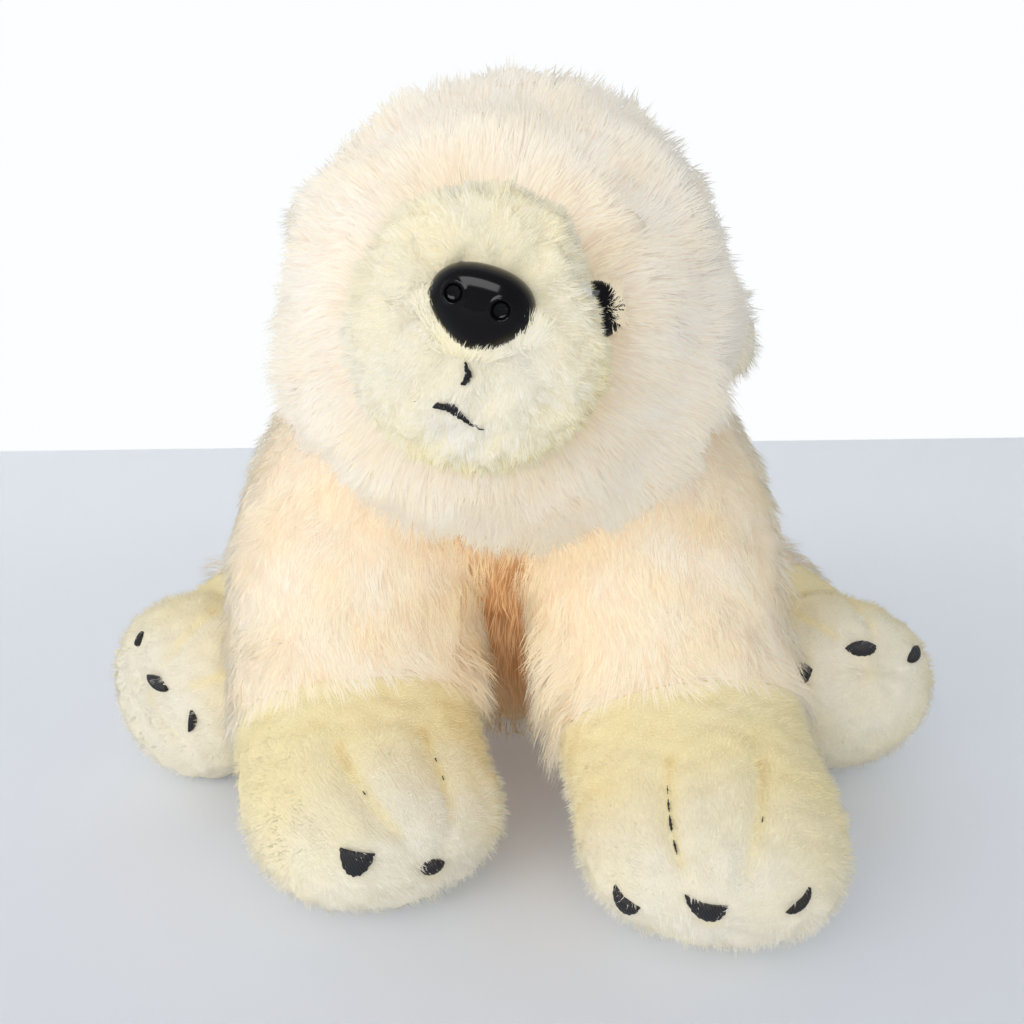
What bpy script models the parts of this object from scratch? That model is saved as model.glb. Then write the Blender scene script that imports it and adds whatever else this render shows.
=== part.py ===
"""A plush polar bear that sits on its rump and leans on its front paws.

Metres, +Z up. The bear faces -Y, and +X is on the right of someone who looks it in the face.
The origin is the middle of its bounding box at floor level.
Every skin is a plush cloth of real depth, backing and packed pile together, sewn over a filling.
"""

import math

import bmesh
import bpy
import numpy as np
from mathutils import Matrix, Vector

# Cloth and fit
LONG_PILE = 0.006  # head, body and legs: backing and packed long pile
SHORT_PILE = 0.003  # muzzle, paws and ears: backing and packed short pile
GAP = 0.0003  # air between two pieces that touch
FILL_GAP = 0.0006  # air between a skin and the filling in it

# Head: an egg along the muzzle's axis
HEAD_CENTRE = (-0.0046, -0.028, 0.1345)
HEAD_ROLL = math.radians(16)  # towards the right ear
HEAD_YAW = math.radians(-4.6)  # towards the left paw
HEAD_WIDTH = 0.105
HEAD_HEIGHT = 0.105
HEAD_FRONT = 0.0536  # from the widest section forwards
HEAD_BACK = 0.047  # from the widest section backwards
HEAD_WIDEST = 0.003  # how far the widest section lies behind the centre
CHEEK_FULLNESS = 0.06  # how much wider the lower half is

# Muzzle: a short-pile cup sewn into the head's front
MUZZLE_SEAM_RADIUS = 0.0168
MUZZLE_RADIUS = 0.0253
MUZZLE_LENGTH = 0.0212  # from the seam to the nose's seat
MUZZLE_WALL = 0.0088  # from the seam to the widest section
MUZZLE_TALL = 1.06  # height over width where it is widest
MUZZLE_SAG = 0.0022  # how far it hangs below a straight line between seam and seat
MUZZLE_LIFT = 0.0042  # how far the nose's seat lies above the axis
NOSE_SEAT_RADIUS = 0.0085
ROOT_TAPER = 0.94  # the muzzle's filling over the head's opening, where it enters the head

# Nose: a moulded button on a shank, held by a lock washer
NOSE_WIDTH = 0.0195
NOSE_HEIGHT = 0.0152
NOSE_DEPTH = 0.0075
NOSE_NARROWING = 0.30  # how much narrower its lower half gets
NOSE_SHOULDER = 0.05  # how full its upper corners are
NOSTRIL_RADIUS = 0.0017
NOSTRIL_APART = 0.0086
NOSTRIL_UP = 0.0012  # above the nose's centre
NOSE_SHANK_RADIUS = 0.0018
NOSE_SHANK_LENGTH = 0.010
NOSE_WASHER_RADIUS = 0.0065
WASHER_THICKNESS = 0.0012
WASHER_GRIP = 1.7  # the raised grip's radius over the shank's

# Eyes: domed buttons on shanks beside the muzzle
EYE_RADIUS = 0.0057
EYE_DEPTH = 0.0040
EYES_APART = 0.0420
EYE_UP = 0.0085
EYE_SHANK_RADIUS = 0.0012
EYE_SHANK_LENGTH = 0.0125
EYE_WASHER_RADIUS = 0.004

# Mouth: stitches of thick black thread, an inverted V under a short upright one
THREAD_RADIUS = 0.0007
PHILTRUM_TOP = -0.0100  # below the nose's centre
PHILTRUM_LENGTH = 0.0038
MOUTH_PEAK = -0.0176
MOUTH_LEFT = 0.0032
MOUTH_RIGHT = 0.0064
MOUTH_DROP = 0.0024

# Ears: doubled flaps of short pile
EAR_WIDTH = 0.026
EAR_REACH = 0.0175
EAR_THICKNESS = 0.010
EAR_CUP = 0.0025
EAR_BACK = 0.018  # behind the head's centre
EAR_UP = 0.006
EAR_SINK = 0.0075  # how far its middle lies inside the head's side
EAR_TURN = math.radians(14)  # backwards

# Torso: a pear along a spine from the tail to the neck
TORSO_SPINE = (
    (-0.003, 0.106, 0.039),
    (-0.003, 0.080, 0.040),
    (-0.003, 0.048, 0.050),
    (-0.003, 0.020, 0.071),
    (-0.003, 0.000, 0.092),
    (-0.003, -0.010, 0.112),
)
RUMP_HALF_WIDTH = 0.056
RUMP_HALF_DEPTH = 0.047
CHEST_HALF_WIDTH = 0.047
CHEST_HALF_DEPTH = 0.036
SHOULDER_HALF_WIDTH = 0.042
SHOULDER_HALF_DEPTH = 0.033
NECK_OPENING = 0.62  # the neck opening's size over the shoulders'

# Front limbs: top of the shoulder, elbow, wrist, instep, paw and toe tip
FRONT_RIGHT_SPINE = (
    (0.020, 0.014, 0.119),
    (0.031, -0.010, 0.076),
    (0.035, -0.022, 0.051),
    (0.0385, -0.037, 0.0310),
    (0.0415, -0.062, 0.0200),
    (0.0370, -0.0940, 0.0155),
)
FRONT_LEFT_SPINE = (
    (-0.026, 0.014, 0.121),
    (-0.0415, -0.007, 0.076),
    (-0.0445, -0.017, 0.051),
    (-0.0425, -0.029, 0.0310),
    (-0.0370, -0.050, 0.0200),
    (-0.0210, -0.0745, 0.0150),
)
FRONT_RIGHT_TURN = math.radians(4)  # the paw's turn outwards, seen from above
FRONT_LEFT_TURN = math.radians(38)
LEG_HALF_WIDTH = 0.0335
LEG_HALF_DEPTH = 0.0265
WRIST_HALF_WIDTH = 0.0310
WRIST_HALF_DEPTH = 0.0240
PAW_HALF_WIDTH = 0.0310
PAW_HALF_HEIGHT = 0.0210
TOE_HALF_WIDTH = 0.0330
TOE_HALF_HEIGHT = 0.0165

# Hind limbs: hip, thigh, ankle, heel, ball and toe tip
HIND_RIGHT_SPINE = (
    (0.020, 0.064, 0.046),
    (0.052, 0.047, 0.035),
    (0.073, 0.034, 0.0295),
    (0.0835, 0.021, 0.0255),
    (0.0890, 0.006, 0.0280),
    (0.0930, -0.014, 0.0380),
)
HIND_LEFT_SPINE = (
    (-0.026, 0.064, 0.046),
    (-0.056, 0.047, 0.035),
    (-0.077, 0.034, 0.0290),
    (-0.0875, 0.021, 0.0245),
    (-0.0945, 0.006, 0.0260),
    (-0.1030, -0.010, 0.0290),
)
HIND_RIGHT_SIDE = (0.93, 0.36, 0.0)  # across the right hind paw
HIND_LEFT_SIDE = (0.72, -0.10, -0.68)  # across the left hind paw, which lies on its side
THIGH_HALF_WIDTH = 0.034
THIGH_HALF_DEPTH = 0.036
ANKLE_HALF_WIDTH = 0.029
ANKLE_HALF_DEPTH = 0.0290
HIND_PAW_HALF_WIDTH = 0.0278
HIND_PAW_HALF_HEIGHT = 0.0252
HIND_TOE_HALF_HEIGHT = 0.0215

# Toes: two sewn channels part each paw in three, and each toe has an embroidered claw
CHANNEL_DEPTH = 0.0022
CHANNEL_SPREAD = math.radians(21)  # from the middle of the paw's top
CHANNEL_WIDTH = math.radians(6)
CLAW_WIDTH = 0.0090
CLAW_HEIGHT = 0.0062
CLAW_THICKNESS = 0.0016
CLAW_SPREAD = 0.55  # how far out the side claws sit, over the half width
CLAW_MIDDLE = 0.24  # how far up the middle claw sits, over the half height
CLAW_RISE = math.radians(22)  # how far above the paw's middle they sit

# Places along the torso's spine, in spine points
TAIL_FULL = 1.3  # where the rounded tail end has reached its full size
TORSO_MIDDLE = (1.9, 2.65)
NECK_FULL = 3.4  # where the torso starts to round to the neck
TORSO_BLUNTNESS = 2.2

# Places along a limb's spine, in spine points
LEG_FULL = 1.1  # where the leg's rounded top has reached its full width
FRONT_SEAM = 2.9
HIND_SEAM = 2.1
TOE_START = 3.9
TOE_BLUNTNESS = 2.4
LIMB_END = 5.0
CHANNEL_FROM = 3.5
CHANNEL_TO = 4.85

# Mesh fineness
LEG_TOP_RINGS = 3
TOE_RINGS = 5
HEAD_SIDES = 20
HEAD_RINGS = 5  # before and behind the widest section
NOSE_SIDES = 16
TORSO_SIDES = 18
TAIL_RINGS = 5
NECK_RINGS = 6
TURNED_SIDES = 12
LIMB_DEGREES = (0, 34, 60, 69, 78, 90, 102, 111, 120, 146, 180, 215, 270, 325)

# Colour and roughness of each finish
FINISHES = {
    "long_pile": ((0.90, 0.78, 0.60), 0.95),
    "short_pile": ((0.84, 0.77, 0.56), 0.90),
    "gloss_plastic": ((0.008, 0.008, 0.011), 0.12),
    "thread": ((0.009, 0.008, 0.010), 0.60),
    "washer_plastic": ((0.75, 0.74, 0.70), 0.50),
    "filling": ((0.88, 0.88, 0.86), 1.00),
}


def clear_scene():
    for thing in list(bpy.data.objects):
        bpy.data.objects.remove(thing, do_unlink=True)


def new_collection(name):
    collection = bpy.data.collections.new(name)
    bpy.context.scene.collection.children.link(collection)
    return collection


def new_frame(name, parent=None, location=(0, 0, 0), rotation=(0, 0, 0)):
    frame = bpy.data.objects.new(name, None)
    bpy.context.scene.collection.objects.link(frame)
    frame.parent, frame.location, frame.rotation_euler = parent, location, rotation
    return frame


def add_object(name, mesh, collection, parent):
    thing = bpy.data.objects.new(name, mesh)
    collection.objects.link(thing)
    thing.parent = parent
    return thing


def paint(thing, finish):
    """Gives a piece its own Principled material in one of the finishes."""
    colour, roughness = FINISHES[finish]
    material = bpy.data.materials.new(thing.name)
    material.use_nodes = True
    shader = material.node_tree.nodes["Principled BSDF"]
    shader.inputs["Base Color"].default_value = (*colour, 1)
    shader.inputs["Roughness"].default_value = roughness
    thing.data.materials.append(material)


def make_cutter(thing):
    thing.hide_render = True
    thing.display_type = "WIRE"
    return thing


def join_by(thing, operation, other):
    step = thing.modifiers.new(operation.lower() + " " + other.name, "BOOLEAN")
    step.operation = operation
    step.solver = "EXACT"
    step.object = other


def thicken(thing, depth):
    """Turns an open skin into cloth of this depth, inwards."""
    wall = thing.modifiers.new("cloth", "SOLIDIFY")
    wall.thickness = depth
    wall.offset = -1


def ball(name, half_sizes, around, along, collection, parent):
    """An ellipsoid with its poles on the Z axis."""
    work = bmesh.new()
    bmesh.ops.create_uvsphere(work, u_segments=around, v_segments=along, radius=1)
    bmesh.ops.scale(work, vec=half_sizes, verts=work.verts)
    return add_object(name, finished(work, name), collection, parent)


def even_angles(sides):
    return np.arange(sides) * math.tau / sides


def unit(vectors):
    return vectors / np.linalg.norm(vectors, axis=-1, keepdims=True)


def smooth_path(points, where):
    """Catmull-Rom through the points; where counts in points, from 0."""
    points = np.asarray(points, float)
    padded = np.vstack([2 * points[0] - points[1], points, 2 * points[-1] - points[-2]])
    low = np.clip(np.floor(where).astype(int), 0, len(points) - 2)
    t = (where - low)[:, None]
    before, start, end, after = (padded[low + k] for k in range(4))
    return 0.5 * (
        2 * start
        + (end - before) * t
        + (2 * before - 5 * start + 4 * end - after) * t**2
        + (3 * start - before - 3 * end + after) * t**3
    )


def directions(spine, places):
    """Unit tangents of the smooth path."""
    step = 1e-3
    return unit(smooth_path(spine, places + step) - smooth_path(spine, places - step))


def tube_rings(tube, places, shrink, angles, inset=0.0):
    """Ellipses across a smooth spine, less an inset; shrink scales each one, which rounds a closed end."""
    centre = smooth_path(tube["spine"], places)
    along = directions(tube["spine"], places)
    half = (smooth_path(tube["halves"], places) - inset) * shrink[:, None]
    across = smooth_path(tube["sides"], places)
    across = unit(across - np.sum(across * along, axis=1, keepdims=True) * along)
    upward = np.cross(along, across)
    cos, sin = np.cos(angles)[None, :, None], np.sin(angles)[None, :, None]
    return (
        centre[:, None]
        + across[:, None] * half[:, None, :1] * cos
        + upward[:, None] * half[:, None, 1:] * sin
    )


def outward(rings):
    """Each point's normal on a grid of rings that close round."""
    around = np.roll(rings, -1, axis=1) - np.roll(rings, 1, axis=1)
    along = np.gradient(rings, axis=0)
    normals = np.cross(around, along)
    return normals / np.maximum(np.linalg.norm(normals, axis=2, keepdims=True), 1e-12)


def on_floor(rings, height=0.0):
    """Flattens what would go below a height over the floor."""
    rings = rings.copy()
    rings[..., 2] = np.maximum(rings[..., 2], height)
    return rings


def add_rings(work, rings):
    return [[work.verts.new(point) for point in ring] for ring in rings]


def add_skin(work, grid, step=1):
    """Two triangles for each cell between rings, always cut the same way; step -1 turns them over."""
    sides = len(grid[0])
    for low, high in zip(grid, grid[1:]):
        for j in range(sides):
            k = (j + 1) % sides
            work.faces.new((low[j], low[k], high[k])[::step])
            work.faces.new((low[j], high[k], high[j])[::step])


def add_fan(work, ring, tip, step=1):
    pole = work.verts.new(tip)
    for j, point in enumerate(ring):
        work.faces.new((pole, point, ring[(j + 1) % len(ring)])[::step])


def finished(work, name):
    mesh = bpy.data.meshes.new(name)
    work.to_mesh(mesh)
    work.free()
    mesh.shade_smooth()
    return mesh


def loft(name, rings, start=None, end=None):
    """A skin over rings. An end is open where it is None, or else closed by a fan on that point."""
    work = bmesh.new()
    grid = add_rings(work, rings)
    add_skin(work, grid)
    if start is not None:
        add_fan(work, grid[0], start, -1)
    if end is not None:
        add_fan(work, grid[-1], end)
    return finished(work, name)


def wall(name, outer, inner, start=None, end=None):
    """Cloth between outer and inner rings. An end has a rim, or is closed at an outer and an inner tip."""
    work = bmesh.new()
    outside, inside = add_rings(work, outer), add_rings(work, inner)
    add_skin(work, outside)
    add_skin(work, inside, -1)
    if start is None:
        add_skin(work, [inside[0], outside[0]])
    else:
        add_fan(work, outside[0], start[0], -1)
        add_fan(work, inside[0], start[1])
    if end is None:
        add_skin(work, [outside[-1], inside[-1]])
    else:
        add_fan(work, outside[-1], end[0])
        add_fan(work, inside[-1], end[1], -1)
    return finished(work, name)


def moved_in(mesh, shape, depth):
    """A loft's rings and its poles, moved inwards along the mesh's own normals as its cloth is."""
    count = shape[0] * shape[1]
    moved = np.array([point.co - point.normal * depth for point in mesh.vertices])
    return moved[:count].reshape(shape), moved[count:]


def round_end(first, last, count, bluntness=2.0):
    """Places from first towards last, whose shrinking rings close a superellipse; the tip is left out."""
    reach = np.sin(np.linspace(0, math.pi / 2, count + 1)[:-1])
    return first + (last - first) * reach, (1 - reach**bluntness) ** (1 / bluntness)


def turned(name, profile, collection, parent, sides=TURNED_SIDES):
    """A piece turned about its own Z axis from (radius, height) points, listed top to bottom."""
    corners = [(radius, 0, height) for radius, height in profile]
    edges = [(k, k + 1) for k in range(len(corners) - 1)]
    if profile[0][0] > 0:
        edges.append((len(corners) - 1, 0))
    mesh = bpy.data.meshes.new(name)
    mesh.from_pydata(corners, edges, [])
    thing = add_object(name, mesh, collection, parent)
    screw = thing.modifiers.new("turn", "SCREW")
    screw.steps = screw.render_steps = sides
    screw.use_merge_vertices = True
    screw.merge_threshold = 1e-5
    return thing


def face_along(thing, location, normal):
    """Puts a piece at a place with its own Z axis along the normal."""
    thing.location = location
    thing.rotation_euler = Vector(normal).to_track_quat("Z", "Y").to_euler()


def head_share(forward, grow=0.0):
    """A head section's size over the widest one's, at a place forwards of the head's centre."""
    place = forward + HEAD_WIDEST
    reach = np.where(place > 0, HEAD_FRONT, HEAD_BACK) + grow
    return np.sqrt(np.maximum(1 - (place / reach) ** 2, 0))


def seam_place():
    """Where the muzzle's seam lies: the head's section has its radius there."""
    share = MUZZLE_SEAM_RADIUS / (HEAD_WIDTH / 2)
    return HEAD_FRONT * math.sqrt(1 - share**2) - HEAD_WIDEST


def head_rings(places, angles, grow=0.0):
    """Head sections across the muzzle's axis, fuller below for the cheeks."""
    share = head_share(places, grow)[:, None]
    cos, sin = np.cos(angles)[None, :], np.sin(angles)[None, :]
    fuller = 1 + CHEEK_FULLNESS * np.maximum(-sin, 0) * np.abs(cos) * 2 * share**2
    x = (HEAD_WIDTH / 2 + grow) * share * cos * fuller
    z = (HEAD_HEIGHT / 2 + grow) * share * sin * fuller
    y = np.broadcast_to(-places[:, None], x.shape)
    return np.stack([x, y, z], axis=2)


def head_places(seam, grow=0.0):
    """Ring places from the back of the head to a seam, closer where the head curves more."""
    back = HEAD_BACK + grow
    front = HEAD_FRONT + grow
    turn = np.linspace(math.pi / 2, 0, HEAD_RINGS + 1)[1:]
    behind = -HEAD_WIDEST - back * np.sin(turn)
    turn = np.linspace(0, math.asin((seam + HEAD_WIDEST) / front), HEAD_RINGS + 1)[1:]
    ahead = -HEAD_WIDEST + front * np.sin(turn)
    return np.concatenate([behind, ahead]), (0, HEAD_WIDEST + back, 0)


def muzzle_profile():
    """Place, radius and lift of the muzzle's rings: a bulging wall, a rounded front and a flat seat."""
    seam = seam_place() + GAP
    start = MUZZLE_SEAM_RADIUS - GAP
    swell = MUZZLE_RADIUS - start
    wall = [(seam + MUZZLE_WALL * s, start + swell * math.sin(s * math.pi / 2)) for s in (0, 0.4, 0.75, 1)]
    dome = MUZZLE_LENGTH - MUZZLE_WALL
    reach = MUZZLE_RADIUS - NOSE_SEAT_RADIUS
    turns = np.linspace(0, math.pi / 2, 5)[1:]
    front = [(seam + MUZZLE_WALL + dome * math.sin(t), NOSE_SEAT_RADIUS + reach * math.cos(t)) for t in turns]
    rings = np.array(wall + front)
    share = (rings[:, 0] - seam) / MUZZLE_LENGTH
    return np.column_stack([rings, MUZZLE_LIFT * share**2 - MUZZLE_SAG * np.sin(math.pi * share)])


def muzzle_height(radius):
    """The muzzle's half height where its half width is radius: round at its ends, taller between."""
    share = np.clip((radius - MUZZLE_SEAM_RADIUS) / (MUZZLE_RADIUS - MUZZLE_SEAM_RADIUS), 0, 1)
    return radius * (1 + (MUZZLE_TALL - 1) * share)


def muzzle_rings(profile, angles):
    """Muzzle sections across the head's axis from (place, radius, lift) rows."""
    place, radius, lift = profile.T
    x = radius[:, None] * np.cos(angles)[None, :]
    z = muzzle_height(radius)[:, None] * np.sin(angles)[None, :] + lift[:, None]
    y = np.broadcast_to(-place[:, None], x.shape)
    return np.stack([x, y, z], axis=2)


def nose_seat():
    """The place on the head's axis system where the nose's flat back lies."""
    return Vector((0, -(seam_place() + GAP + MUZZLE_LENGTH + GAP), MUZZLE_LIFT))


def eye_seat(side):
    """Where an eye's back lies on the head, and the head's normal there."""
    x, z = side * EYES_APART / 2, EYE_UP
    half_width, half_height = HEAD_WIDTH / 2, HEAD_HEIGHT / 2
    ahead = HEAD_FRONT * math.sqrt(1 - (x / half_width) ** 2 - (z / half_height) ** 2)
    normal = Vector((x / half_width**2, -ahead / HEAD_FRONT**2, z / half_height**2)).normalized()
    return Vector((x, HEAD_WIDEST - ahead, z)), normal


def build_head_cutter(cutters, head_frame):
    """The head's outside, a gap larger, on which the ears and the shoulders end."""
    places, back = head_places(seam_place(), GAP)
    front = (0, -places[-1], 0)
    mesh = loft("head_cutter", head_rings(places, even_angles(HEAD_SIDES), GAP), back, front)
    return make_cutter(add_object("head_cutter", mesh, cutters, head_frame))


def build_head(parts, cutters, head_frame, torso_cutter):
    """Head skin, muzzle skin and the one filling inside both."""
    angles = even_angles(HEAD_SIDES)
    places, back = head_places(seam_place())
    head = head_rings(places, angles)
    skin = add_object("head_skin", loft("head_skin", head, back), parts, head_frame)
    thicken(skin, LONG_PILE)
    join_by(skin, "DIFFERENCE", torso_cutter)
    paint(skin, "long_pile")

    profile = muzzle_profile()
    hole = [profile[-1, 0], NOSE_SHANK_RADIUS + GAP, MUZZLE_LIFT]
    cup = muzzle_rings(np.vstack([profile, hole]), angles)
    muzzle = add_object("muzzle_skin", loft("muzzle_skin", cup), parts, head_frame)
    thicken(muzzle, SHORT_PILE)
    paint(muzzle, "short_pile")

    core, backs = moved_in(skin.data, head.shape, LONG_PILE + FILL_GAP)
    front = np.array((0, core[-1, :, 1].mean(), 0))
    filling = add_object("head_filling", loft("head_filling", core, backs[0], front), parts, head_frame)

    plug = moved_in(muzzle.data, cup.shape, SHORT_PILE + FILL_GAP)[0][:-1]
    seat = -profile[-1, 0] + SHORT_PILE + WASHER_THICKNESS + 3 * GAP
    plug[..., 1] = np.maximum(plug[..., 1], seat)
    root = core[-1:] * (ROOT_TAPER, 1, ROOT_TAPER) + (0, LONG_PILE, 0)
    plug = loft("muzzle_filling", np.concatenate([root, plug]), root[0].mean(axis=0), (0, seat, MUZZLE_LIFT))
    plug = make_cutter(add_object("muzzle_filling", plug, cutters, head_frame))
    join_by(filling, "UNION", plug)
    join_by(filling, "DIFFERENCE", torso_cutter)
    paint(filling, "filling")
    return {"head": skin, "filling": filling}


def nose_outline(angles):
    """The nose's outline: broad above, narrow and rounded below."""
    x, z = np.cos(angles), np.sin(angles)
    narrowing = 1 - NOSE_NARROWING * np.maximum(-z, 0)
    shoulder = 1 + NOSE_SHOULDER * np.sin(angles * 2) ** 2 * (z > 0)
    return np.column_stack([x * narrowing * NOSE_WIDTH, z * NOSE_HEIGHT]) * shoulder[:, None] / 2


def build_nose(parts, cutters, head_frame, skins):
    """The nose button with its two dimples, its washer, and the hole for its shank in the filling."""
    frame = new_frame("nose_frame", head_frame, nose_seat(), (math.pi / 2, 0, 0))
    angles = even_angles(NOSE_SIDES)
    circle = np.column_stack([np.cos(angles), np.sin(angles)]) * NOSE_SHANK_RADIUS
    outline = nose_outline(angles)
    sections = [(circle, -NOSE_SHANK_LENGTH), (circle, 0)]
    for turn in np.linspace(0, 0.45 * math.pi, 6):
        sections.append((outline * math.cos(turn), NOSE_DEPTH * math.sin(turn)))
    rings = [np.column_stack([section, np.full(NOSE_SIDES, height)]) for section, height in sections]
    mesh = loft("nose", np.array(rings), (0, 0, -NOSE_SHANK_LENGTH), (0, 0, NOSE_DEPTH))
    nose = add_object("nose", mesh, parts, frame)
    for side, name in ((-1, "left"), (1, "right")):
        nostril = make_cutter(ball(name + "_nostril", (NOSTRIL_RADIUS,) * 3, 8, 5, cutters, frame))
        nostril.location = (side * NOSTRIL_APART / 2, NOSTRIL_UP, NOSE_DEPTH - NOSTRIL_RADIUS / 3)
        join_by(nose, "DIFFERENCE", nostril)
    paint(nose, "gloss_plastic")

    top = -(SHORT_PILE + 2 * GAP)
    washer = lock_washer("nose_washer", NOSE_WASHER_RADIUS, NOSE_SHANK_RADIUS, parts, frame, top)
    paint(washer, "washer_plastic")

    wide = NOSE_SHANK_RADIUS + GAP
    end = -NOSE_SHANK_LENGTH - GAP
    hole = turned("nose_shank_hole", [(0, 0), (wide, 0), (wide, end), (0, end)], cutters, frame)
    join_by(skins["filling"], "DIFFERENCE", make_cutter(hole))


def lock_washer(name, radius, shank_radius, collection, parent, top):
    """A flat ring with a raised grip round its hole."""
    hole = shank_radius + GAP / 2
    bottom = top - WASHER_THICKNESS
    lip = shank_radius * WASHER_GRIP
    profile = [(hole, top), (radius, top), (radius, bottom), (lip, bottom), (hole, bottom)]
    return turned(name, profile, collection, parent)


def build_eye(side, name, parts, cutters, head_frame, skins):
    """One eye: a glossy dome on a shank, its washer, and its holes in the skin and the filling."""
    place, normal = eye_seat(side)
    frame = new_frame(name + "_eye_frame", head_frame)
    face_along(frame, place + normal * GAP, normal)
    turn = np.linspace(0, math.pi / 2, 5)
    dome = [(EYE_RADIUS * math.sin(t), EYE_DEPTH * math.cos(t)) for t in turn]
    stem = [(EYE_SHANK_RADIUS, 0), (EYE_SHANK_RADIUS, -EYE_SHANK_LENGTH), (0, -EYE_SHANK_LENGTH)]
    eye = turned(name + "_eye", dome + stem, parts, frame)
    paint(eye, "gloss_plastic")

    top = -(LONG_PILE + 3 * FILL_GAP)
    washer = lock_washer(name + "_eye_washer", EYE_WASHER_RADIUS, EYE_SHANK_RADIUS, parts, frame, top)
    paint(washer, "washer_plastic")

    hole_radius = EYE_SHANK_RADIUS + GAP
    end = -EYE_SHANK_LENGTH - GAP
    hole = [(0, EYE_DEPTH), (hole_radius, EYE_DEPTH), (hole_radius, end), (0, end)]
    hole = make_cutter(turned(name + "_eye_hole", hole, cutters, frame))
    join_by(skins["head"], "DIFFERENCE", hole)

    wide = EYE_WASHER_RADIUS + GAP
    rim = top - WASHER_THICKNESS - GAP
    pocket = [(0, 0), (wide, 0), (wide, rim), (hole_radius, rim), (hole_radius, end), (0, end)]
    pocket = make_cutter(turned(name + "_eye_pocket", pocket, cutters, frame))
    join_by(skins["filling"], "DIFFERENCE", pocket)


def muzzle_front(x, z):
    """The muzzle's surface point in front of (x, z) in the head's frame, from its own profile."""
    profile = muzzle_profile()[3:]
    fine = np.linspace(0, len(profile) - 1, 400)
    index = np.arange(len(profile))
    place, radius, lift = (np.interp(fine, index, column) for column in profile.T)
    reach = np.hypot(x / radius, (z - lift) / muzzle_height(radius))
    return Vector((x, -place[np.argmin(np.abs(reach - 1))], z))


def stitch(name, corners, parts, head_frame):
    """A thick thread on the muzzle through corners given as (x, z), just clear of the pile."""
    curve = bpy.data.curves.new(name, "CURVE")
    curve.dimensions = "3D"
    curve.bevel_depth = THREAD_RADIUS
    curve.bevel_resolution = 0
    curve.use_fill_caps = True
    fine = [corners[0]]
    for (x, z), (next_x, next_z) in zip(corners, corners[1:]):
        fine += [((x + next_x) / 2, (z + next_z) / 2), (next_x, next_z)]
    line = curve.splines.new("POLY")
    line.points.add(len(fine) - 1)
    for point, (x, z) in zip(line.points, fine):
        away = Vector((x, -2 * MUZZLE_RADIUS, 2 * (z - MUZZLE_LIFT))).normalized()
        point.co = (*(muzzle_front(x, z) + away * (THREAD_RADIUS + 2 * GAP)), 1)
    thing = add_object(name, curve, parts, head_frame)
    paint(thing, "thread")


def build_mouth(parts, head_frame):
    top = MUZZLE_LIFT + PHILTRUM_TOP
    stitch("philtrum_stitch", [(0, top), (0, top - PHILTRUM_LENGTH)], parts, head_frame)
    peak = MUZZLE_LIFT + MOUTH_PEAK
    left = (-MOUTH_LEFT, peak - MOUTH_DROP * MOUTH_LEFT / MOUTH_RIGHT)
    right = (MOUTH_RIGHT, peak - MOUTH_DROP)
    stitch("mouth_stitch", [left, (0, peak), right], parts, head_frame)


def build_ear(side, name, parts, head_frame, head_cutter):
    """A cupped half-round flap at the head's side, whose root ends at the head's skin."""
    size = (EAR_REACH, EAR_THICKNESS / 2, EAR_WIDTH / 2)
    ear = ball(name + "_ear", size, 12, 8, parts, head_frame)
    for point in ear.data.vertices:
        across, up = point.co.x / EAR_REACH, point.co.z / (EAR_WIDTH / 2)
        point.co.y += EAR_CUP * (1 - across**2) * (1 - up**2)
    ear.location = (side * (HEAD_WIDTH / 2 - EAR_SINK), EAR_BACK, EAR_UP)
    ear.rotation_euler = (0, 0, side * EAR_TURN)
    join_by(ear, "DIFFERENCE", head_cutter)
    paint(ear, "short_pile")


def torso_tube():
    rump = (RUMP_HALF_WIDTH, RUMP_HALF_DEPTH)
    chest = (CHEST_HALF_WIDTH, CHEST_HALF_DEPTH)
    shoulder = (SHOULDER_HALF_WIDTH, SHOULDER_HALF_DEPTH)
    return {
        "spine": TORSO_SPINE,
        "halves": (rump, rump, rump, chest, shoulder, shoulder),
        "sides": ((1, 0, 0),) * len(TORSO_SPINE),
    }


def torso_plan():
    """Places and shrinks of the torso's rings, rounded at the tail and at the neck."""
    end = len(TORSO_SPINE) - 1
    tail, tail_shrink = round_end(TAIL_FULL, 0, TAIL_RINGS, TORSO_BLUNTNESS)
    neck, neck_shrink = round_end(NECK_FULL, end, NECK_RINGS, TORSO_BLUNTNESS)
    places = np.concatenate([tail[::-1], TORSO_MIDDLE, neck])
    shrink = np.concatenate([tail_shrink[::-1], np.ones(len(TORSO_MIDDLE)), neck_shrink])
    return places, shrink


def build_torso(parts, cutters, root):
    """The body's skin, open at the neck, its filling, and the cutter that other pieces end on."""
    tube, angles = torso_tube(), even_angles(TORSO_SIDES)
    places, shrink = torso_plan()
    rings = on_floor(tube_rings(tube, places, shrink, angles))
    tail, neck = TORSO_SPINE[0], TORSO_SPINE[-1]
    covered = (shrink >= NECK_OPENING) | (places <= TORSO_MIDDLE[-1])
    skin = add_object("body_skin", loft("body_skin", rings[covered], tail), parts, root)
    thicken(skin, LONG_PILE)
    paint(skin, "long_pile")

    normals = outward(rings)
    inner = rings - normals * 2 * GAP
    inner[covered], tails = moved_in(skin.data, rings[covered].shape, LONG_PILE + FILL_GAP)
    along = unit(np.array([np.array(tail) - TORSO_SPINE[1], np.array(neck) - TORSO_SPINE[-2]]))
    mesh = loft("body_filling", inner, tails[0], np.array(neck) - along[1] * 2 * GAP)
    filling = add_object("body_filling", mesh, parts, root)
    paint(filling, "filling")

    grown = rings + normals * GAP
    mesh = loft("torso_cutter", grown, np.array(tail) + along[0] * GAP, np.array(neck) + along[1] * GAP)
    return make_cutter(add_object("torso_cutter", mesh, cutters, root))


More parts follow.
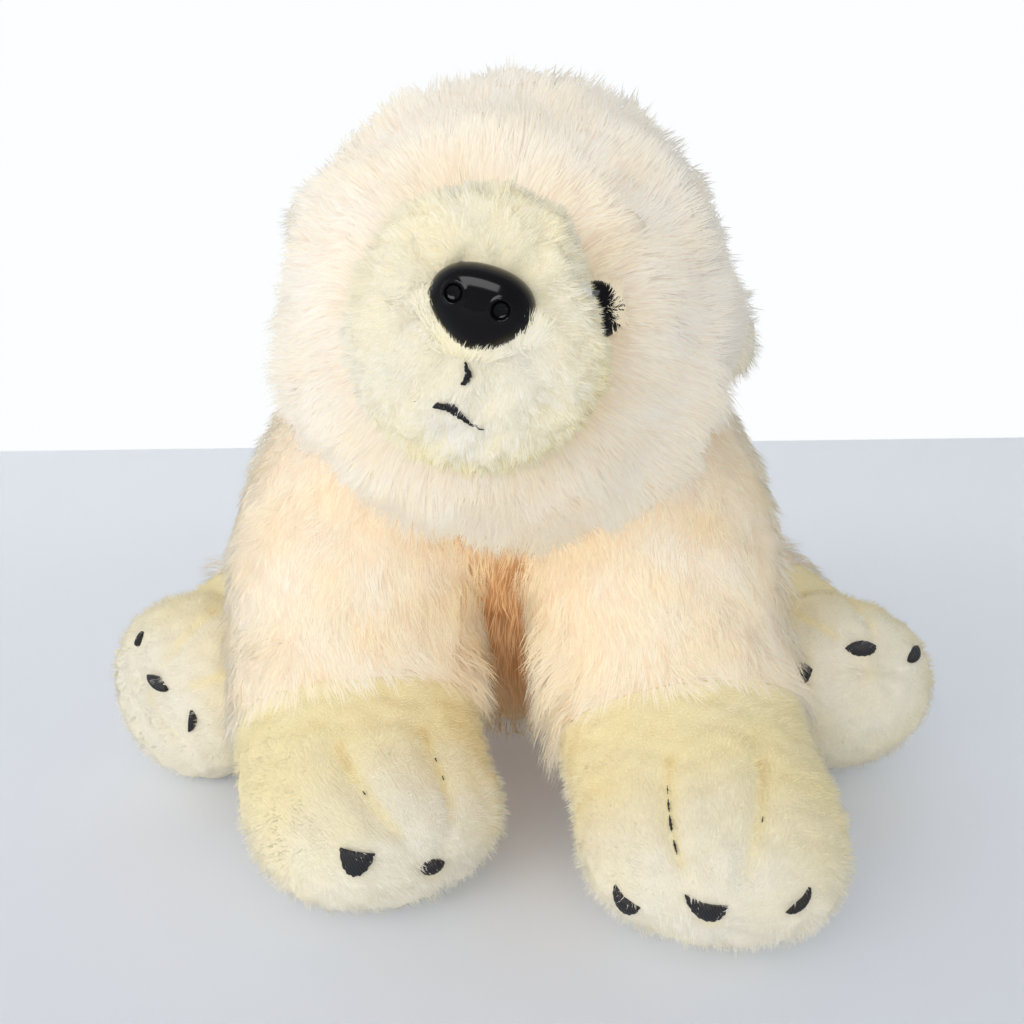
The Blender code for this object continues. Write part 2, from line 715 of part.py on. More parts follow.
def limb_tube(spine, halves, side_start, side_end):
    """A limb's spine, sections and width direction, which turns from the body's to the paw's."""
    share = np.linspace(0, 1, len(spine))[:, None]
    sides = np.array(side_start) * (1 - share) + np.array(side_end) * share
    return {"spine": spine, "halves": halves, "sides": sides}


def channel_depth(places, angles):
    """How deep the two sewn channels sink at each place and angle."""
    rise = np.clip((places - CHANNEL_FROM) / (LIMB_END - CHANNEL_FROM) * 3, 0, 1)
    fade = np.clip((LIMB_END - places) / (LIMB_END - CHANNEL_TO), 0, 1)
    off_top = np.abs(angles - math.pi / 2) - CHANNEL_SPREAD
    return CHANNEL_DEPTH * (rise * fade)[:, None] * np.exp(-((off_top / CHANNEL_WIDTH) ** 2))[None, :]


def leg_rings(tube, seam, inset, angles):
    """The leg's rings from its rounded top to the seam, less an inset, and its top."""
    end = inset / np.linalg.norm(np.subtract(*tube["spine"][:2]))
    top, shrink = round_end(LEG_FULL, end, LEG_TOP_RINGS, TOE_BLUNTNESS)
    leg = np.linspace(LEG_FULL, seam, 3)[1:]
    places = np.concatenate([top[::-1], leg])
    rings = tube_rings(tube, places, np.concatenate([shrink[::-1], np.ones(len(leg))]), angles, inset)
    return on_floor(rings, inset), smooth_path(tube["spine"], np.array([end]))[0]


def paw_rings(tube, seam, inset, angles):
    """The paw's rings from the seam to its rounded toes, less an inset, and their tip."""
    end = LIMB_END - inset / np.linalg.norm(np.subtract(*tube["spine"][-2:]))
    body = np.linspace(seam, TOE_START, 4)[:-1]
    toe, shrink = round_end(TOE_START, end, TOE_RINGS, TOE_BLUNTNESS)
    places = np.concatenate([body, toe])
    rings = tube_rings(tube, places, np.concatenate([np.ones(len(body)), shrink]), angles, inset)
    rings -= outward(rings) * channel_depth(places, angles)[..., None]
    return on_floor(rings, inset), smooth_path(tube["spine"], np.array([end]))[0]


def build_limb(name, tube, seam, parts, root, cutters_above):
    """One limb: long-pile sleeve, short-pile paw cover with three toes, filling and claws."""
    angles = np.radians(LIMB_DEGREES)
    outer, top = leg_rings(tube, seam, 0, angles)
    inner, inner_top = leg_rings(tube, seam, LONG_PILE, angles)
    mesh = wall(name + "_sleeve", outer, inner, start=(top, inner_top))
    sleeve = add_object(name + "_sleeve", mesh, parts, root)
    paint(sleeve, "long_pile")

    heading = directions(tube["spine"], np.array([seam]))[0]
    beyond = {**tube, "spine": np.array(tube["spine"]) + heading * GAP}
    outer, tip = paw_rings(beyond, seam, 0, angles)
    inner, inner_tip = paw_rings(beyond, seam, SHORT_PILE, angles)
    mesh = wall(name + "_paw", outer, inner, end=(tip, inner_tip))
    cover = add_object(name + "_paw", mesh, parts, root)
    paint(cover, "short_pile")

    leg, top = leg_rings(tube, seam, LONG_PILE + FILL_GAP, angles)
    paw, tip = paw_rings(beyond, seam, SHORT_PILE + FILL_GAP, angles)
    mesh = loft(name + "_filling", np.concatenate([leg, paw[1:]]), top, tip)
    filling = add_object(name + "_filling", mesh, parts, root)
    paint(filling, "filling")
    for piece in (sleeve, filling):
        for cutter in cutters_above:
            join_by(piece, "DIFFERENCE", cutter)

    side = math.copysign(1, tube["spine"][-1][0])
    angles = {-1: math.pi - CLAW_RISE, 0: math.pi / 2, 1: CLAW_RISE}
    toes = (("inner", CLAW_SPREAD, -side), ("middle", CLAW_MIDDLE, 0), ("outer", CLAW_SPREAD, side))
    bpy.context.view_layer.update()
    for toe, share, turn in toes:
        build_claw(f"{name}_{toe}_claw", beyond, share, angles[turn], cover, parts, root)


def build_claw(name, tube, share, angle, cover, parts, root):
    """A satin-stitched patch on a toe, where the paw's end has shrunk to a share at an angle."""
    reach = (1 - share**TOE_BLUNTNESS) ** (1 / TOE_BLUNTNESS)
    place = np.array([TOE_START + (LIMB_END - TOE_START) * reach])
    wanted = tube_rings(tube, place, np.array([share]), np.array([angle]))[0, 0]
    _, seat, normal, _ = cover.closest_point_on_mesh(wanted)
    across = Vector(tube["sides"][-1])
    across = (across - normal * across.dot(normal)).normalized()
    size = (CLAW_WIDTH / 2, CLAW_HEIGHT / 2, CLAW_THICKNESS / 2)
    claw = ball(name, size, 8, 4, parts, root)
    claw.matrix_basis = Matrix((across, normal.cross(across), normal)).transposed().to_4x4()
    claw.location = seat + normal * (CLAW_THICKNESS / 2 + GAP)
    paint(claw, "thread")


def front_limb(spine, turn):
    leg = (LEG_HALF_WIDTH, LEG_HALF_DEPTH)
    wrist = (WRIST_HALF_WIDTH, WRIST_HALF_DEPTH)
    paw = (PAW_HALF_WIDTH, PAW_HALF_HEIGHT)
    toe = (TOE_HALF_WIDTH, TOE_HALF_HEIGHT)
    halves = (leg, leg, wrist, wrist, paw, toe)
    return limb_tube(spine, halves, (1, 0, 0), (math.cos(turn), math.sin(turn), 0))


def hind_limb(spine, side):
    thigh = (THIGH_HALF_WIDTH, THIGH_HALF_DEPTH)
    ankle = (ANKLE_HALF_WIDTH, ANKLE_HALF_DEPTH)
    paw = (HIND_PAW_HALF_WIDTH, HIND_PAW_HALF_HEIGHT)
    toe = (HIND_PAW_HALF_WIDTH, HIND_TOE_HALF_HEIGHT)
    across = (spine[1][1] - spine[2][1], spine[2][0] - spine[1][0], 0)
    across = np.array(across) * math.copysign(1, across[0])
    return limb_tube(spine, (thigh, thigh, ankle, paw, paw, toe), across / np.linalg.norm(across), side)


def centre_on_floor(parts, root):
    """Moves the whole bear so that the origin is under the middle of its bounding box."""
    bpy.context.view_layer.update()
    depsgraph = bpy.context.evaluated_depsgraph_get()
    corners = []
    for thing in parts.objects:
        shown = thing.evaluated_get(depsgraph)
        mesh = shown.to_mesh()
        corners += [thing.matrix_world @ point.co for point in mesh.vertices]
        shown.to_mesh_clear()
    corners = np.array(corners)
    low, high = corners.min(axis=0), corners.max(axis=0)
    root.location = (-(low[0] + high[0]) / 2, -(low[1] + high[1]) / 2, -low[2])


clear_scene()
parts = new_collection("plush_polar_bear")
cutters = new_collection("cutters")
root = new_frame("bear_frame")
head_frame = new_frame("head_frame", root, HEAD_CENTRE, (0, HEAD_ROLL, HEAD_YAW))

torso_cutter = build_torso(parts, cutters, root)
head_cutter = build_head_cutter(cutters, head_frame)
skins = build_head(parts, cutters, head_frame, torso_cutter)
build_nose(parts, cutters, head_frame, skins)
for side, name in ((-1, "left"), (1, "right")):
    build_eye(side, name, parts, cutters, head_frame, skins)
    build_ear(side, name, parts, head_frame, head_cutter)
build_mouth(parts, head_frame)

above = (torso_cutter, head_cutter)
build_limb("right_front", front_limb(FRONT_RIGHT_SPINE, FRONT_RIGHT_TURN), FRONT_SEAM, parts, root, above)
build_limb("left_front", front_limb(FRONT_LEFT_SPINE, FRONT_LEFT_TURN), FRONT_SEAM, parts, root, above)
build_limb("right_hind", hind_limb(HIND_RIGHT_SPINE, HIND_RIGHT_SIDE), HIND_SEAM, parts, root, above[:1])
build_limb("left_hind", hind_limb(HIND_LEFT_SPINE, HIND_LEFT_SIDE), HIND_SEAM, parts, root, above[:1])
centre_on_floor(parts, root)
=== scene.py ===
import math

import bpy
import numpy as np
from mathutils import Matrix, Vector


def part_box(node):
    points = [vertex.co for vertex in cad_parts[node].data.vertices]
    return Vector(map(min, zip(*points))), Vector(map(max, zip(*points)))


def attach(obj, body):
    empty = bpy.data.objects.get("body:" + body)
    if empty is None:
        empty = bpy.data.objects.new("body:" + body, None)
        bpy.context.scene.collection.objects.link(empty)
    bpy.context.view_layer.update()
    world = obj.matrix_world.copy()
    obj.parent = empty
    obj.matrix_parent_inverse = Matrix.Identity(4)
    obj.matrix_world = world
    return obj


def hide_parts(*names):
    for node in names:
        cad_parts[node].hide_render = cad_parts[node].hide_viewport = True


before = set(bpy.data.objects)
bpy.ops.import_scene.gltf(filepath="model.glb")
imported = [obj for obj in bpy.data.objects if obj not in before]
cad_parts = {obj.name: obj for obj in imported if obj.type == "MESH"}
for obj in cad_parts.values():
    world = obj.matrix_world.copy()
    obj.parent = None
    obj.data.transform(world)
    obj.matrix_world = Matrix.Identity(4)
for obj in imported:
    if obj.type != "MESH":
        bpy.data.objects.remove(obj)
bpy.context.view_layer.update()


# The camera
# A phone's lens, close in front of the bear and level with its forehead, tipped a little down.
# The bear's own frame, in which every place below is written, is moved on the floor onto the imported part.
CAMERA_TIP = math.radians(13)
skin_low, skin_high = (np.array(corner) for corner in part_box("body_skin"))
BEAR_PLACE = np.array([(skin_low[0] + skin_high[0]) / 2 + 0.003, skin_high[1] - 0.106, 0.0])

eye_point = bpy.data.cameras.new("camera")
eye_point.lens = 38.6
eye_point.sensor_width = 36
camera = bpy.data.objects.new("camera", eye_point)
camera.location = Vector((-0.0036, -0.293, 0.147)) + Vector(BEAR_PLACE)
camera.rotation_euler = (math.radians(90) - CAMERA_TIP, 0, 0)
bpy.context.scene.collection.objects.link(camera)
bpy.context.scene.camera = camera
bpy.context.scene.view_settings.view_transform = "Standard"


# The head
# Cream long-pile plush, cut as gussets and sewn to an egg, fullest at the cheeks. Its pile is brushed
# out and back from the muzzle to a ruff. The cloth is one closed skin, and each lock of the pile on it
# is a spindle of six faces, bent at its middle.
HEAD_CENTRE = np.array([-0.0046, -0.028, 0.1345])
HEAD_ROLL = math.radians(16)
HEAD_YAW = math.radians(-4.6)
HEAD_WIDTH = 0.105
HEAD_HEIGHT = 0.105
HEAD_FRONT = 0.0536
HEAD_BACK = 0.047
HEAD_WIDEST = 0.003
CHEEK_FULLNESS = 0.06
MUZZLE_SEAM_RADIUS = 0.0168
EYES_APART = 0.0394
EYE_UP = 0.0085
HEAD_LOCKS = 31500
HEAD_INSET = 0.0015
HEAD_LUMPS = 0.0008
HEAD_PILE = 0.0066
RUFF_PILE = 0.0032
GROOVE_RADIUS = 0.024
GROOVE_WIDTH = 0.005
CLOTH_LUMPS = 0.0006
ROOT_DEPTH = 0.0006
SWIRL_SIZE = 0.022
FLOOR_CLEAR = 0.0004
STREAK_WIDTH = 0.00075
STREAK_LENGTH = 0.010
# The bare patch that each eye shows in, and how far it lies from the button's middle
EYE_OPENING = 0.0060
OPENING_PLACE = (-0.0022, 0, 0.0006)


def unit(vectors):
    """Each vector over its own length."""
    return vectors / np.maximum(np.linalg.norm(vectors, axis=-1, keepdims=True), 1e-12)


def circle(count):
    """Angles in even steps, once round."""
    return np.arange(count) * math.tau / count


def from_head(points):
    """Points of the head's frame, rolled about Y, turned about Z and moved to the head's centre."""
    cos_roll, sin_roll = math.cos(HEAD_ROLL), math.sin(HEAD_ROLL)
    cos_yaw, sin_yaw = math.cos(HEAD_YAW), math.sin(HEAD_YAW)
    roll = np.array([[cos_roll, 0, sin_roll], [0, 1, 0], [-sin_roll, 0, cos_roll]])
    yaw = np.array([[cos_yaw, -sin_yaw, 0], [sin_yaw, cos_yaw, 0], [0, 0, 1]])
    return points @ (yaw @ roll).T + HEAD_CENTRE + BEAR_PLACE


def head_rings(places, angles, inset):
    """Ellipses across the head's axis: size times the root of one less the place over the reach squared,
    and fuller below by the sine times the cosine of the angle."""
    reach = np.where(places > 0, HEAD_FRONT, HEAD_BACK) - inset
    share = np.sqrt(np.maximum(1 - (places / reach) ** 2, 0))[:, None]
    cos, sin = np.cos(angles)[None, :], np.sin(angles)[None, :]
    fuller = 1 + CHEEK_FULLNESS * np.maximum(-sin, 0) * np.abs(cos) * 2 * share**2
    x = (HEAD_WIDTH / 2 - inset) * share * cos * fuller
    z = (HEAD_HEIGHT / 2 - inset) * share * sin * fuller
    y = np.broadcast_to(HEAD_WIDEST - places[:, None], x.shape)
    return np.stack([x, y, z], axis=2)


def waves(points, size, seed):
    """A smooth random field about zero: twenty plane waves of about this length in random directions."""
    chance = np.random.default_rng(seed)
    ways = unit(chance.normal(size=(20, 3))) * (math.tau / size) * chance.uniform(0.7, 1.5, (20, 1))
    starts = chance.uniform(0, math.tau, 20)
    return np.sin(points @ ways.T + starts).sum(axis=-1) / math.sqrt(10)


def lumpy(height, size, seed, base=0.0):
    """What gives each point a base and waves of a size, this high."""
    return lambda points: base + height * waves(points, size, seed)


def even(length):
    """What gives each point the same length."""
    return lambda points: np.full(len(points), length)


def pelt(rings, flow, droop):
    """A skin's rings, outward normals, and the way that its pile lies: along the rings' order or against
    it, pulled down by the droop, flat on the skin."""
    along = np.gradient(rings, axis=0)
    around = np.roll(rings, -1, axis=1) - np.roll(rings, 1, axis=1)
    normal = unit(np.cross(around, along))
    lie = unit(along) * flow + (0, 0, -droop)
    lie = unit(lie - normal * np.sum(lie * normal, axis=2, keepdims=True))
    return {"rings": rings, "normal": normal, "lie": lie}


def pushed(rings, depth, flow, droop):
    """The pelt of rings that are first pushed inwards by a depth at each point."""
    return pelt(rings - pelt(rings, flow, droop)["normal"] * depth[..., None], flow, droop)


def between(grid, row, col):
    """A grid's value between its points, straight both ways; the columns close round."""
    low, left = np.clip(row.astype(int), 0, len(grid) - 2), col.astype(int) % grid.shape[1]
    right = (left + 1) % grid.shape[1]
    up = (row - low).reshape(-1, *[1] * (grid.ndim - 2))
    over = (col - np.floor(col)).reshape(up.shape)
    lower = grid[low, left] * (1 - over) + grid[low, right] * over
    upper = grid[low + 1, left] * (1 - over) + grid[low + 1, right] * over
    return lower * (1 - up) + upper * up


def new_piece(name, points, faces, uv, material, smooth=True):
    """A mesh object from whole arrays: points, triangles and a UV pair for each point."""
    mesh = bpy.data.meshes.new(name)
    mesh.vertices.add(len(points))
    mesh.vertices.foreach_set("co", np.ascontiguousarray(points, np.float32).ravel())
    mesh.loops.add(faces.size)
    mesh.loops.foreach_set("vertex_index", np.ascontiguousarray(faces, np.int32).ravel())
    mesh.polygons.add(len(faces))
    mesh.polygons.foreach_set("loop_start", np.arange(0, faces.size, 3, dtype=np.int32))
    mesh.polygons.foreach_set("use_smooth", np.full(len(faces), smooth))
    mesh.update(calc_edges=True)
    layer = mesh.uv_layers.new(name="OFBake")
    layer.data.foreach_set("uv", np.ascontiguousarray(uv[faces.ravel()], np.float32).ravel())
    mesh.materials.append(material)
    piece = bpy.data.objects.new(name, mesh)
    bpy.context.scene.collection.objects.link(piece)
    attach(piece, "root")
    return piece


def closed_grid(rings):
    """Triangles of a grid whose columns close round, with a pole after its points at either end."""
    rows, cols = rings.shape[:2]
    low = np.arange(rows - 1)[:, None] * cols + np.arange(cols)[None, :]
    right = np.arange(rows - 1)[:, None] * cols + (np.arange(cols)[None, :] + 1) % cols
    sides = np.stack([low, right, right + cols, low, right + cols, low + cols], axis=-1).reshape(-1, 3)
    ring, after = np.arange(cols), (np.arange(cols) + 1) % cols
    first, last = rows * cols, rows * cols + 1
    start = np.stack([np.full(cols, first), after, ring], axis=1)
    end = np.stack([ring + last - 1 - cols, after + last - 1 - cols, np.full(cols, last)], axis=1)
    points = np.vstack([rings.reshape(-1, 3), rings[0].mean(axis=0), rings[-1].mean(axis=0)])
    return points, np.vstack([sides, start, end])


def wrapped_map(rows, cols):
    """A closed grid's map: up with its rows, and across from one to nought and back round its columns."""
    over = np.broadcast_to(np.abs(np.linspace(-1, 1, cols))[None, :], (rows, cols))
    up = np.broadcast_to(np.linspace(0.02, 0.98, rows)[:, None], (rows, cols))
    return np.vstack([np.stack([over, up], axis=2).reshape(-1, 2), [[0.5, 0.0], [0.5, 1.0]]])


def skin(name, coat, material, warmth, lumps):
    """The closed skin under the pile, pushed in and out by lumps; its warmth is kept at each point."""
    rings = coat["rings"] + coat["normal"] * lumps(coat["rings"])[..., None]
    rings[..., 2] = np.maximum(rings[..., 2], FLOOR_CLEAR)
    points, faces = closed_grid(rings)
    piece = new_piece(name, points, faces, wrapped_map(*rings.shape[:2]), material)
    warm = np.concatenate([warmth(rings).ravel(), np.full(2, warmth(rings).mean())])
    piece.data.attributes.new("warmth", "FLOAT", "POINT").data.foreach_set("value", warm.astype(np.float32))
    return piece


def lock_path(root, normal, lie, length, stray, pile, rise=1.0):
    """A lock's middle and tip, and the way that its outer half points: the first half leans from the
    normal to the lie, which swirls over the skin, and the second bends on and falls."""
    lie = lie + pile["swirl"] * np.stack([waves(root, SWIRL_SIZE, 60 + axis) for axis in range(3)], axis=1)
    first = unit(normal * pile["rise"] * rise + lie * pile["lean"] + stray)
    second = unit(first + lie * pile["bend"] + stray - np.array([0, 0, pile["fall"]]))
    middle = root + first * length * 0.5
    return middle, middle + second * length * 0.5, second


def nearest_tufts(coat, row, col, root, pile, chance):
    """The middle and tip of each lock's tuft. Tufts stand on a jittered lattice over the skin, and each
    lock goes to the nearest of the nine about it."""
    rings = coat["rings"]
    rows, cols = rings.shape[:2]
    around = np.linalg.norm((np.roll(rings, -1, axis=1) - rings)[:-1], axis=2).sum(axis=1).max()
    upward = np.linalg.norm(rings[1:] - rings[:-1], axis=2).sum(axis=0).max()
    high, wide = max(int(upward / pile["tuft"]), 3), max(int(around / pile["tuft"]), 6)
    seat = chance.random((high, wide, 2))
    tuft_row = ((np.arange(high)[:, None] + seat[..., 0]) * (rows - 1) / high).ravel()
    tuft_col = ((np.arange(wide)[None, :] + seat[..., 1]) * cols / wide).ravel()
    foot = between(rings, tuft_row, tuft_col)
    normal, lie = (unit(between(coat[key], tuft_row, tuft_col)) for key in ("normal", "lie"))
    stray = chance.normal(size=foot.shape) * pile["sway"]
    length = pile["length"](foot)[:, None] * chance.uniform(0.85, 1.1, (len(foot), 1))
    middle, tip, _ = lock_path(foot, normal, lie, length, stray, pile)
    nearest, best = np.zeros(len(row), int), np.full(len(row), np.inf)
    home_row, home_col = (row * high / (rows - 1)).astype(int), (col * wide / cols).astype(int)
    for over_row in (-1, 0, 1):
        for over_col in (-1, 0, 1):
            there = np.clip(home_row + over_row, 0, high - 1) * wide + (home_col + over_col) % wide
            far = np.linalg.norm(foot[there] - root, axis=1)
            nearest, best = np.where(far < best, there, nearest), np.minimum(far, best)
    return middle[nearest], tip[nearest]


def lock_corners(root, middle, tip, across, deep, half, bent):
    """Each lock's corners, their faces, and each corner's height up the lock. A bent lock is a spindle of
    six faces with its belt at the middle; a straight one is a spike of four that stands on its root."""
    belt = middle if bent else root
    corners = [belt + half * (across * x + deep * y) for x, y in ((1, 0.2), (-1, 0.2), (0, -0.6))]
    if bent:
        faces = np.array([[0, 1, 3], [1, 2, 3], [2, 0, 3], [4, 1, 0], [4, 2, 1], [4, 0, 2]])
        return np.stack([*corners, tip, root], axis=1), faces, np.array([0.5, 0.5, 0.5, 0.98, 0.02])
    faces = np.array([[0, 1, 3], [1, 2, 3], [2, 0, 3], [0, 2, 1]])
    return np.stack([*corners, tip], axis=1), faces, np.array([0.02, 0.02, 0.06, 0.98])


def hairs(name, coat, count, share, pile, warmth, material, seed):
    """Locks of pile scattered over a coat by its area times a share, their tips drawn to their tufts'. The
    map holds each lock's warmth across and its height up; the normals are mostly the skin's own and the
    locks throw no shadows, so that the pile shades as one soft surface."""
    chance = np.random.default_rng(seed)
    rings = coat["rings"]
    cols = rings.shape[1]
    step_over = (np.roll(rings, -1, axis=1) - rings)[:-1]
    weight = np.linalg.norm(np.cross(rings[1:] - rings[:-1], step_over), axis=2) * share(rings[:-1])
    cells = chance.choice(weight.size, count, p=weight.ravel() / weight.sum())
    row = cells // cols + chance.random(count)
    col = cells % cols + chance.random(count)
    root = between(rings, row, col)
    normal, lie = (unit(between(coat[key], row, col)) for key in ("normal", "lie"))

    length = pile["length"](root)[:, None] * chance.uniform(0.72, 1.12, (count, 1))
    stray = chance.normal(size=(count, 3)) * pile["stray"]
    rise = chance.uniform(0.6, 1.6, (count, 1))
    middle, tip, way = lock_path(root, normal, lie, length, stray, pile, rise)
    tuft_middle, tuft_tip = nearest_tufts(coat, row, col, root, pile, chance)
    pull = pile["pull"] * chance.uniform(0.5, 1.2, (count, 1))
    middle = middle + (tuft_middle - middle) * pull * 0.35
    tip = tip + (tuft_tip - tip) * np.minimum(pull, 0.92)

    across = unit(np.cross(normal + chance.normal(size=(count, 3)) * 0.2, way))
    deep = np.cross(way, across)
    half = pile["width"] * chance.uniform(0.7, 1.3, (count, 1)) / 2
    root = root - normal * ROOT_DEPTH
    points, faces, high = lock_corners(root, middle, tip, across, deep, half, pile["bent"])
    # A lock pressed flat on the floor keeps its corners at steps of height, so that no face closes up
    size = points.shape[1]
    points[..., 2] = np.maximum(points[..., 2], 0.0003 + 0.0002 * np.array([1, 3, 5, 2, 0])[:size])
    first, second, third = (points[:, faces[:, corner]] for corner in range(3))
    sides = unit(np.cross(second - first, third - first))
    faces = (np.arange(count)[:, None, None] * size + faces[None]).reshape(-1, 3)
    warm = np.clip(warmth(middle) + chance.normal(size=count) * 0.05, 0.01, 0.99)
    over = warm[:, None] + np.array([-0.004, 0.004, 0, 0, 0])[None, :size]
    uv = np.stack([over, np.broadcast_to(high, over.shape)], axis=2).reshape(-1, 2)
    piece = new_piece(name, points.reshape(-1, 3), faces, uv, material)
    piece.visible_shadow = False
    piece.visible_diffuse = False
    forward = np.clip(normal @ unit(pile["face"]) + 0.4, 0, 1)[:, None]
    facing = unit(normal + way * 0.2 + pile["face"] * forward)
    corners = unit(facing[:, None] * 0.65 + sides * 0.35)
    piece.data.normals_split_custom_set(np.repeat(corners.reshape(-1, 3), 3, axis=0))
    return piece


def linear(code):
    """An sRGB hex colour as linear red, green, blue and one."""
    parts = np.array([int(code[k:k + 2], 16) for k in (1, 3, 5)]) / 255
    parts = np.where(parts <= 0.04045, parts / 12.92, ((parts + 0.055) / 1.055) ** 2.4)
    return (*parts, 1.0)


def add(tree, kind, inputs=(), **settings):
    """A shader node: its settings, and its inputs as values or as other nodes' outputs."""
    made = tree.nodes.new("ShaderNode" + kind)
    for key, value in settings.items():
        setattr(made, key, value)
    for key, value in dict(inputs).items():
        if isinstance(value, bpy.types.NodeSocket):
            tree.links.new(value, made.inputs[key])
        else:
            made.inputs[key].default_value = value
    return made


def new_material(name, base, roughness, **constants):
    """A Principled material whose base colour is a node's output, made by base(tree)."""
    material = bpy.data.materials.new(name)
    material.use_nodes = True
    tree = material.node_tree
    shader = tree.nodes["Principled BSDF"]
    shader.inputs["Roughness"].default_value = roughness
    for key, value in constants.items():
        shader.inputs[key.replace("_", " ")].default_value = value
    colour, bump = base(tree)
    tree.links.new(colour, shader.inputs["Base Color"])
    if bump is not None:
        tree.links.new(bump, shader.inputs["Normal"])
    return material


def blend(tree, share, colours):
    """Three colours by a share: the first to the second up to 0.6, on to the third at one."""
    first = add(tree, "MapRange", {0: share, 1: 0.0, 2: 0.6})
    second = add(tree, "MapRange", {0: share, 1: 0.6, 2: 1.0})
    both = add(tree, "Mix", {0: first.outputs[0], 6: colours[0], 7: colours[1]}, data_type="RGBA")
    last = add(tree, "Mix", {0: second.outputs[0], 6: both.outputs[2], 7: colours[2]}, data_type="RGBA")
    return last.outputs[2]


def pile_colours(roots, tips):
    """Acrylic pile on its hairs: across the map from cool to warm to deep, the deep end being painted shade
    for the crevices; up the map from root to tip, the darker roots being painted shade between the locks;
    with a fine change of tone from lock to lock."""
    def base(tree):
        place = add(tree, "UVMap", uv_map="OFBake")
        parts = add(tree, "SeparateXYZ", {0: place.outputs[0]})
        rise = add(tree, "MapRange", {0: parts.outputs[1], 1: 0.0, 2: 0.8}, interpolation_type="SMOOTHSTEP")
        ends = []
        for root, tip in zip(roots, tips):
            mixed = add(tree, "Mix", {0: rise.outputs[0], 6: linear(root), 7: linear(tip)}, data_type="RGBA")
            ends.append(mixed.outputs[2])
        both = blend(tree, parts.outputs[0], ends)
        stretched = add(tree, "Mapping", {0: place.outputs[0], "Scale": (160, 1.5, 1)})
        tone = add(tree, "TexNoise", {"Vector": stretched.outputs[0], "Scale": 1.0, "Detail": 1.0})
        level = add(tree, "MapRange", {0: tone.outputs[0], 1: 0.3, 2: 0.7, 3: 0.90, 4: 1.06})
        toned = add(tree, "VectorMath", {0: both, 1: level.outputs[0]}, operation="MULTIPLY")
        return toned.outputs[0], None
    return base


def cloth_colours(colours, streaks, depth):
    """The knitted ground with the pile's roots: cool to deep by the skin's warmth, the deep end being painted
    shade in the crevices, with streaks that run the way the pile lies, as many round half the skin and along
    it as given, raised by a depth."""
    def base(tree):
        place = add(tree, "UVMap", uv_map="OFBake")
        warmth = add(tree, "Attribute", attribute_name="warmth")
        both = blend(tree, warmth.outputs["Fac"], [linear(code) for code in colours])
        stretched = add(tree, "Mapping", {0: place.outputs[0], "Scale": (*streaks, 1)})
        fine = add(tree, "TexNoise", {"Vector": stretched.outputs[0], "Scale": 1.0, "Detail": 2.0})
        level = add(tree, "MapRange", {0: fine.outputs[0], 1: 0.3, 2: 0.7, 3: 0.93, 4: 1.03})
        toned = add(tree, "VectorMath", {0: both, 1: level.outputs[0]}, operation="MULTIPLY")
        raised = add(tree, "Bump", {"Height": fine.outputs[0], "Strength": 0.6, "Distance": depth})
        return toned.outputs[0], raised.outputs[0]
    return base


# Brushed acrylic fibre scatters the light softly and glows a little at grazing angles: cream at the tips,
# peach deep between the locks, which is painted shade at the roots; a third, deeper colour is painted shade
# in the crevices. The ground under it is knitted, dull, and streaked by the fibres' feet the way the pile
# lies; its deep end is painted shade too.
half_girth = math.pi * HEAD_WIDTH / 2
head_streaks = (round(half_girth / STREAK_WIDTH), round(half_girth / STREAK_LENGTH))
long_pile = new_material(
    "long_pile_acrylic",
    pile_colours(("#faf0e0", "#fbdba8", "#c98a52"), ("#fbf4e7", "#ffeabb", "#e8ae74")), 0.85,
    Sheen_Weight=0.3, Sheen_Roughness=0.5)
long_ground = new_material(
    "long_pile_ground", cloth_colours(("#faeede", "#fcdcae", "#c68a55"), head_streaks, 0.0007), 0.95)


def eye_places():
    """The eyes' seats on the head, left and right, and the head's normals there, in the head's frame."""
    x, z = np.array([-1, 1]) * EYES_APART / 2, np.full(2, EYE_UP)
    ahead = HEAD_FRONT * np.sqrt(1 - (x / (HEAD_WIDTH / 2)) ** 2 - (z / (HEAD_HEIGHT / 2)) ** 2)
    normal = np.stack([x / (HEAD_WIDTH / 2) ** 2, -ahead / HEAD_FRONT**2, z / (HEAD_HEIGHT / 2) ** 2], axis=1)
    return np.stack([x, HEAD_WIDEST - ahead, z], axis=1), unit(normal)


eye_seats, eye_normals = eye_places()
eyes_world = from_head(eye_seats)
seam_front = HEAD_FRONT * math.sqrt(1 - (MUZZLE_SEAM_RADIUS / (HEAD_WIDTH / 2)) ** 2)
turn = np.linspace(-math.pi / 2 + 0.06, math.asin(seam_front / HEAD_FRONT), 64)
head_places = (np.where(turn < 0, HEAD_BACK, HEAD_FRONT) - HEAD_INSET) * np.sin(turn)
head_rounds = from_head(head_rings(head_places, circle(80), HEAD_INSET))
head_coat = pushed(head_rounds, -HEAD_LUMPS * waves(head_rounds, 0.03, 21), -1, 0.12)
muzzle_axis = from_head(np.array([[0, -1.0, 0]]))[0] - from_head(np.zeros((1, 3)))[0]
head_middle = from_head(np.zeros((1, 3)))[0]


def near(points, places, reach):
    """One at a place, falling to nothing past the reach, as a bell; the greatest of several."""
    gaps = np.stack([np.linalg.norm(points - place, axis=-1) for place in places])
    return np.exp(-((gaps.min(axis=0) / reach) ** 2))


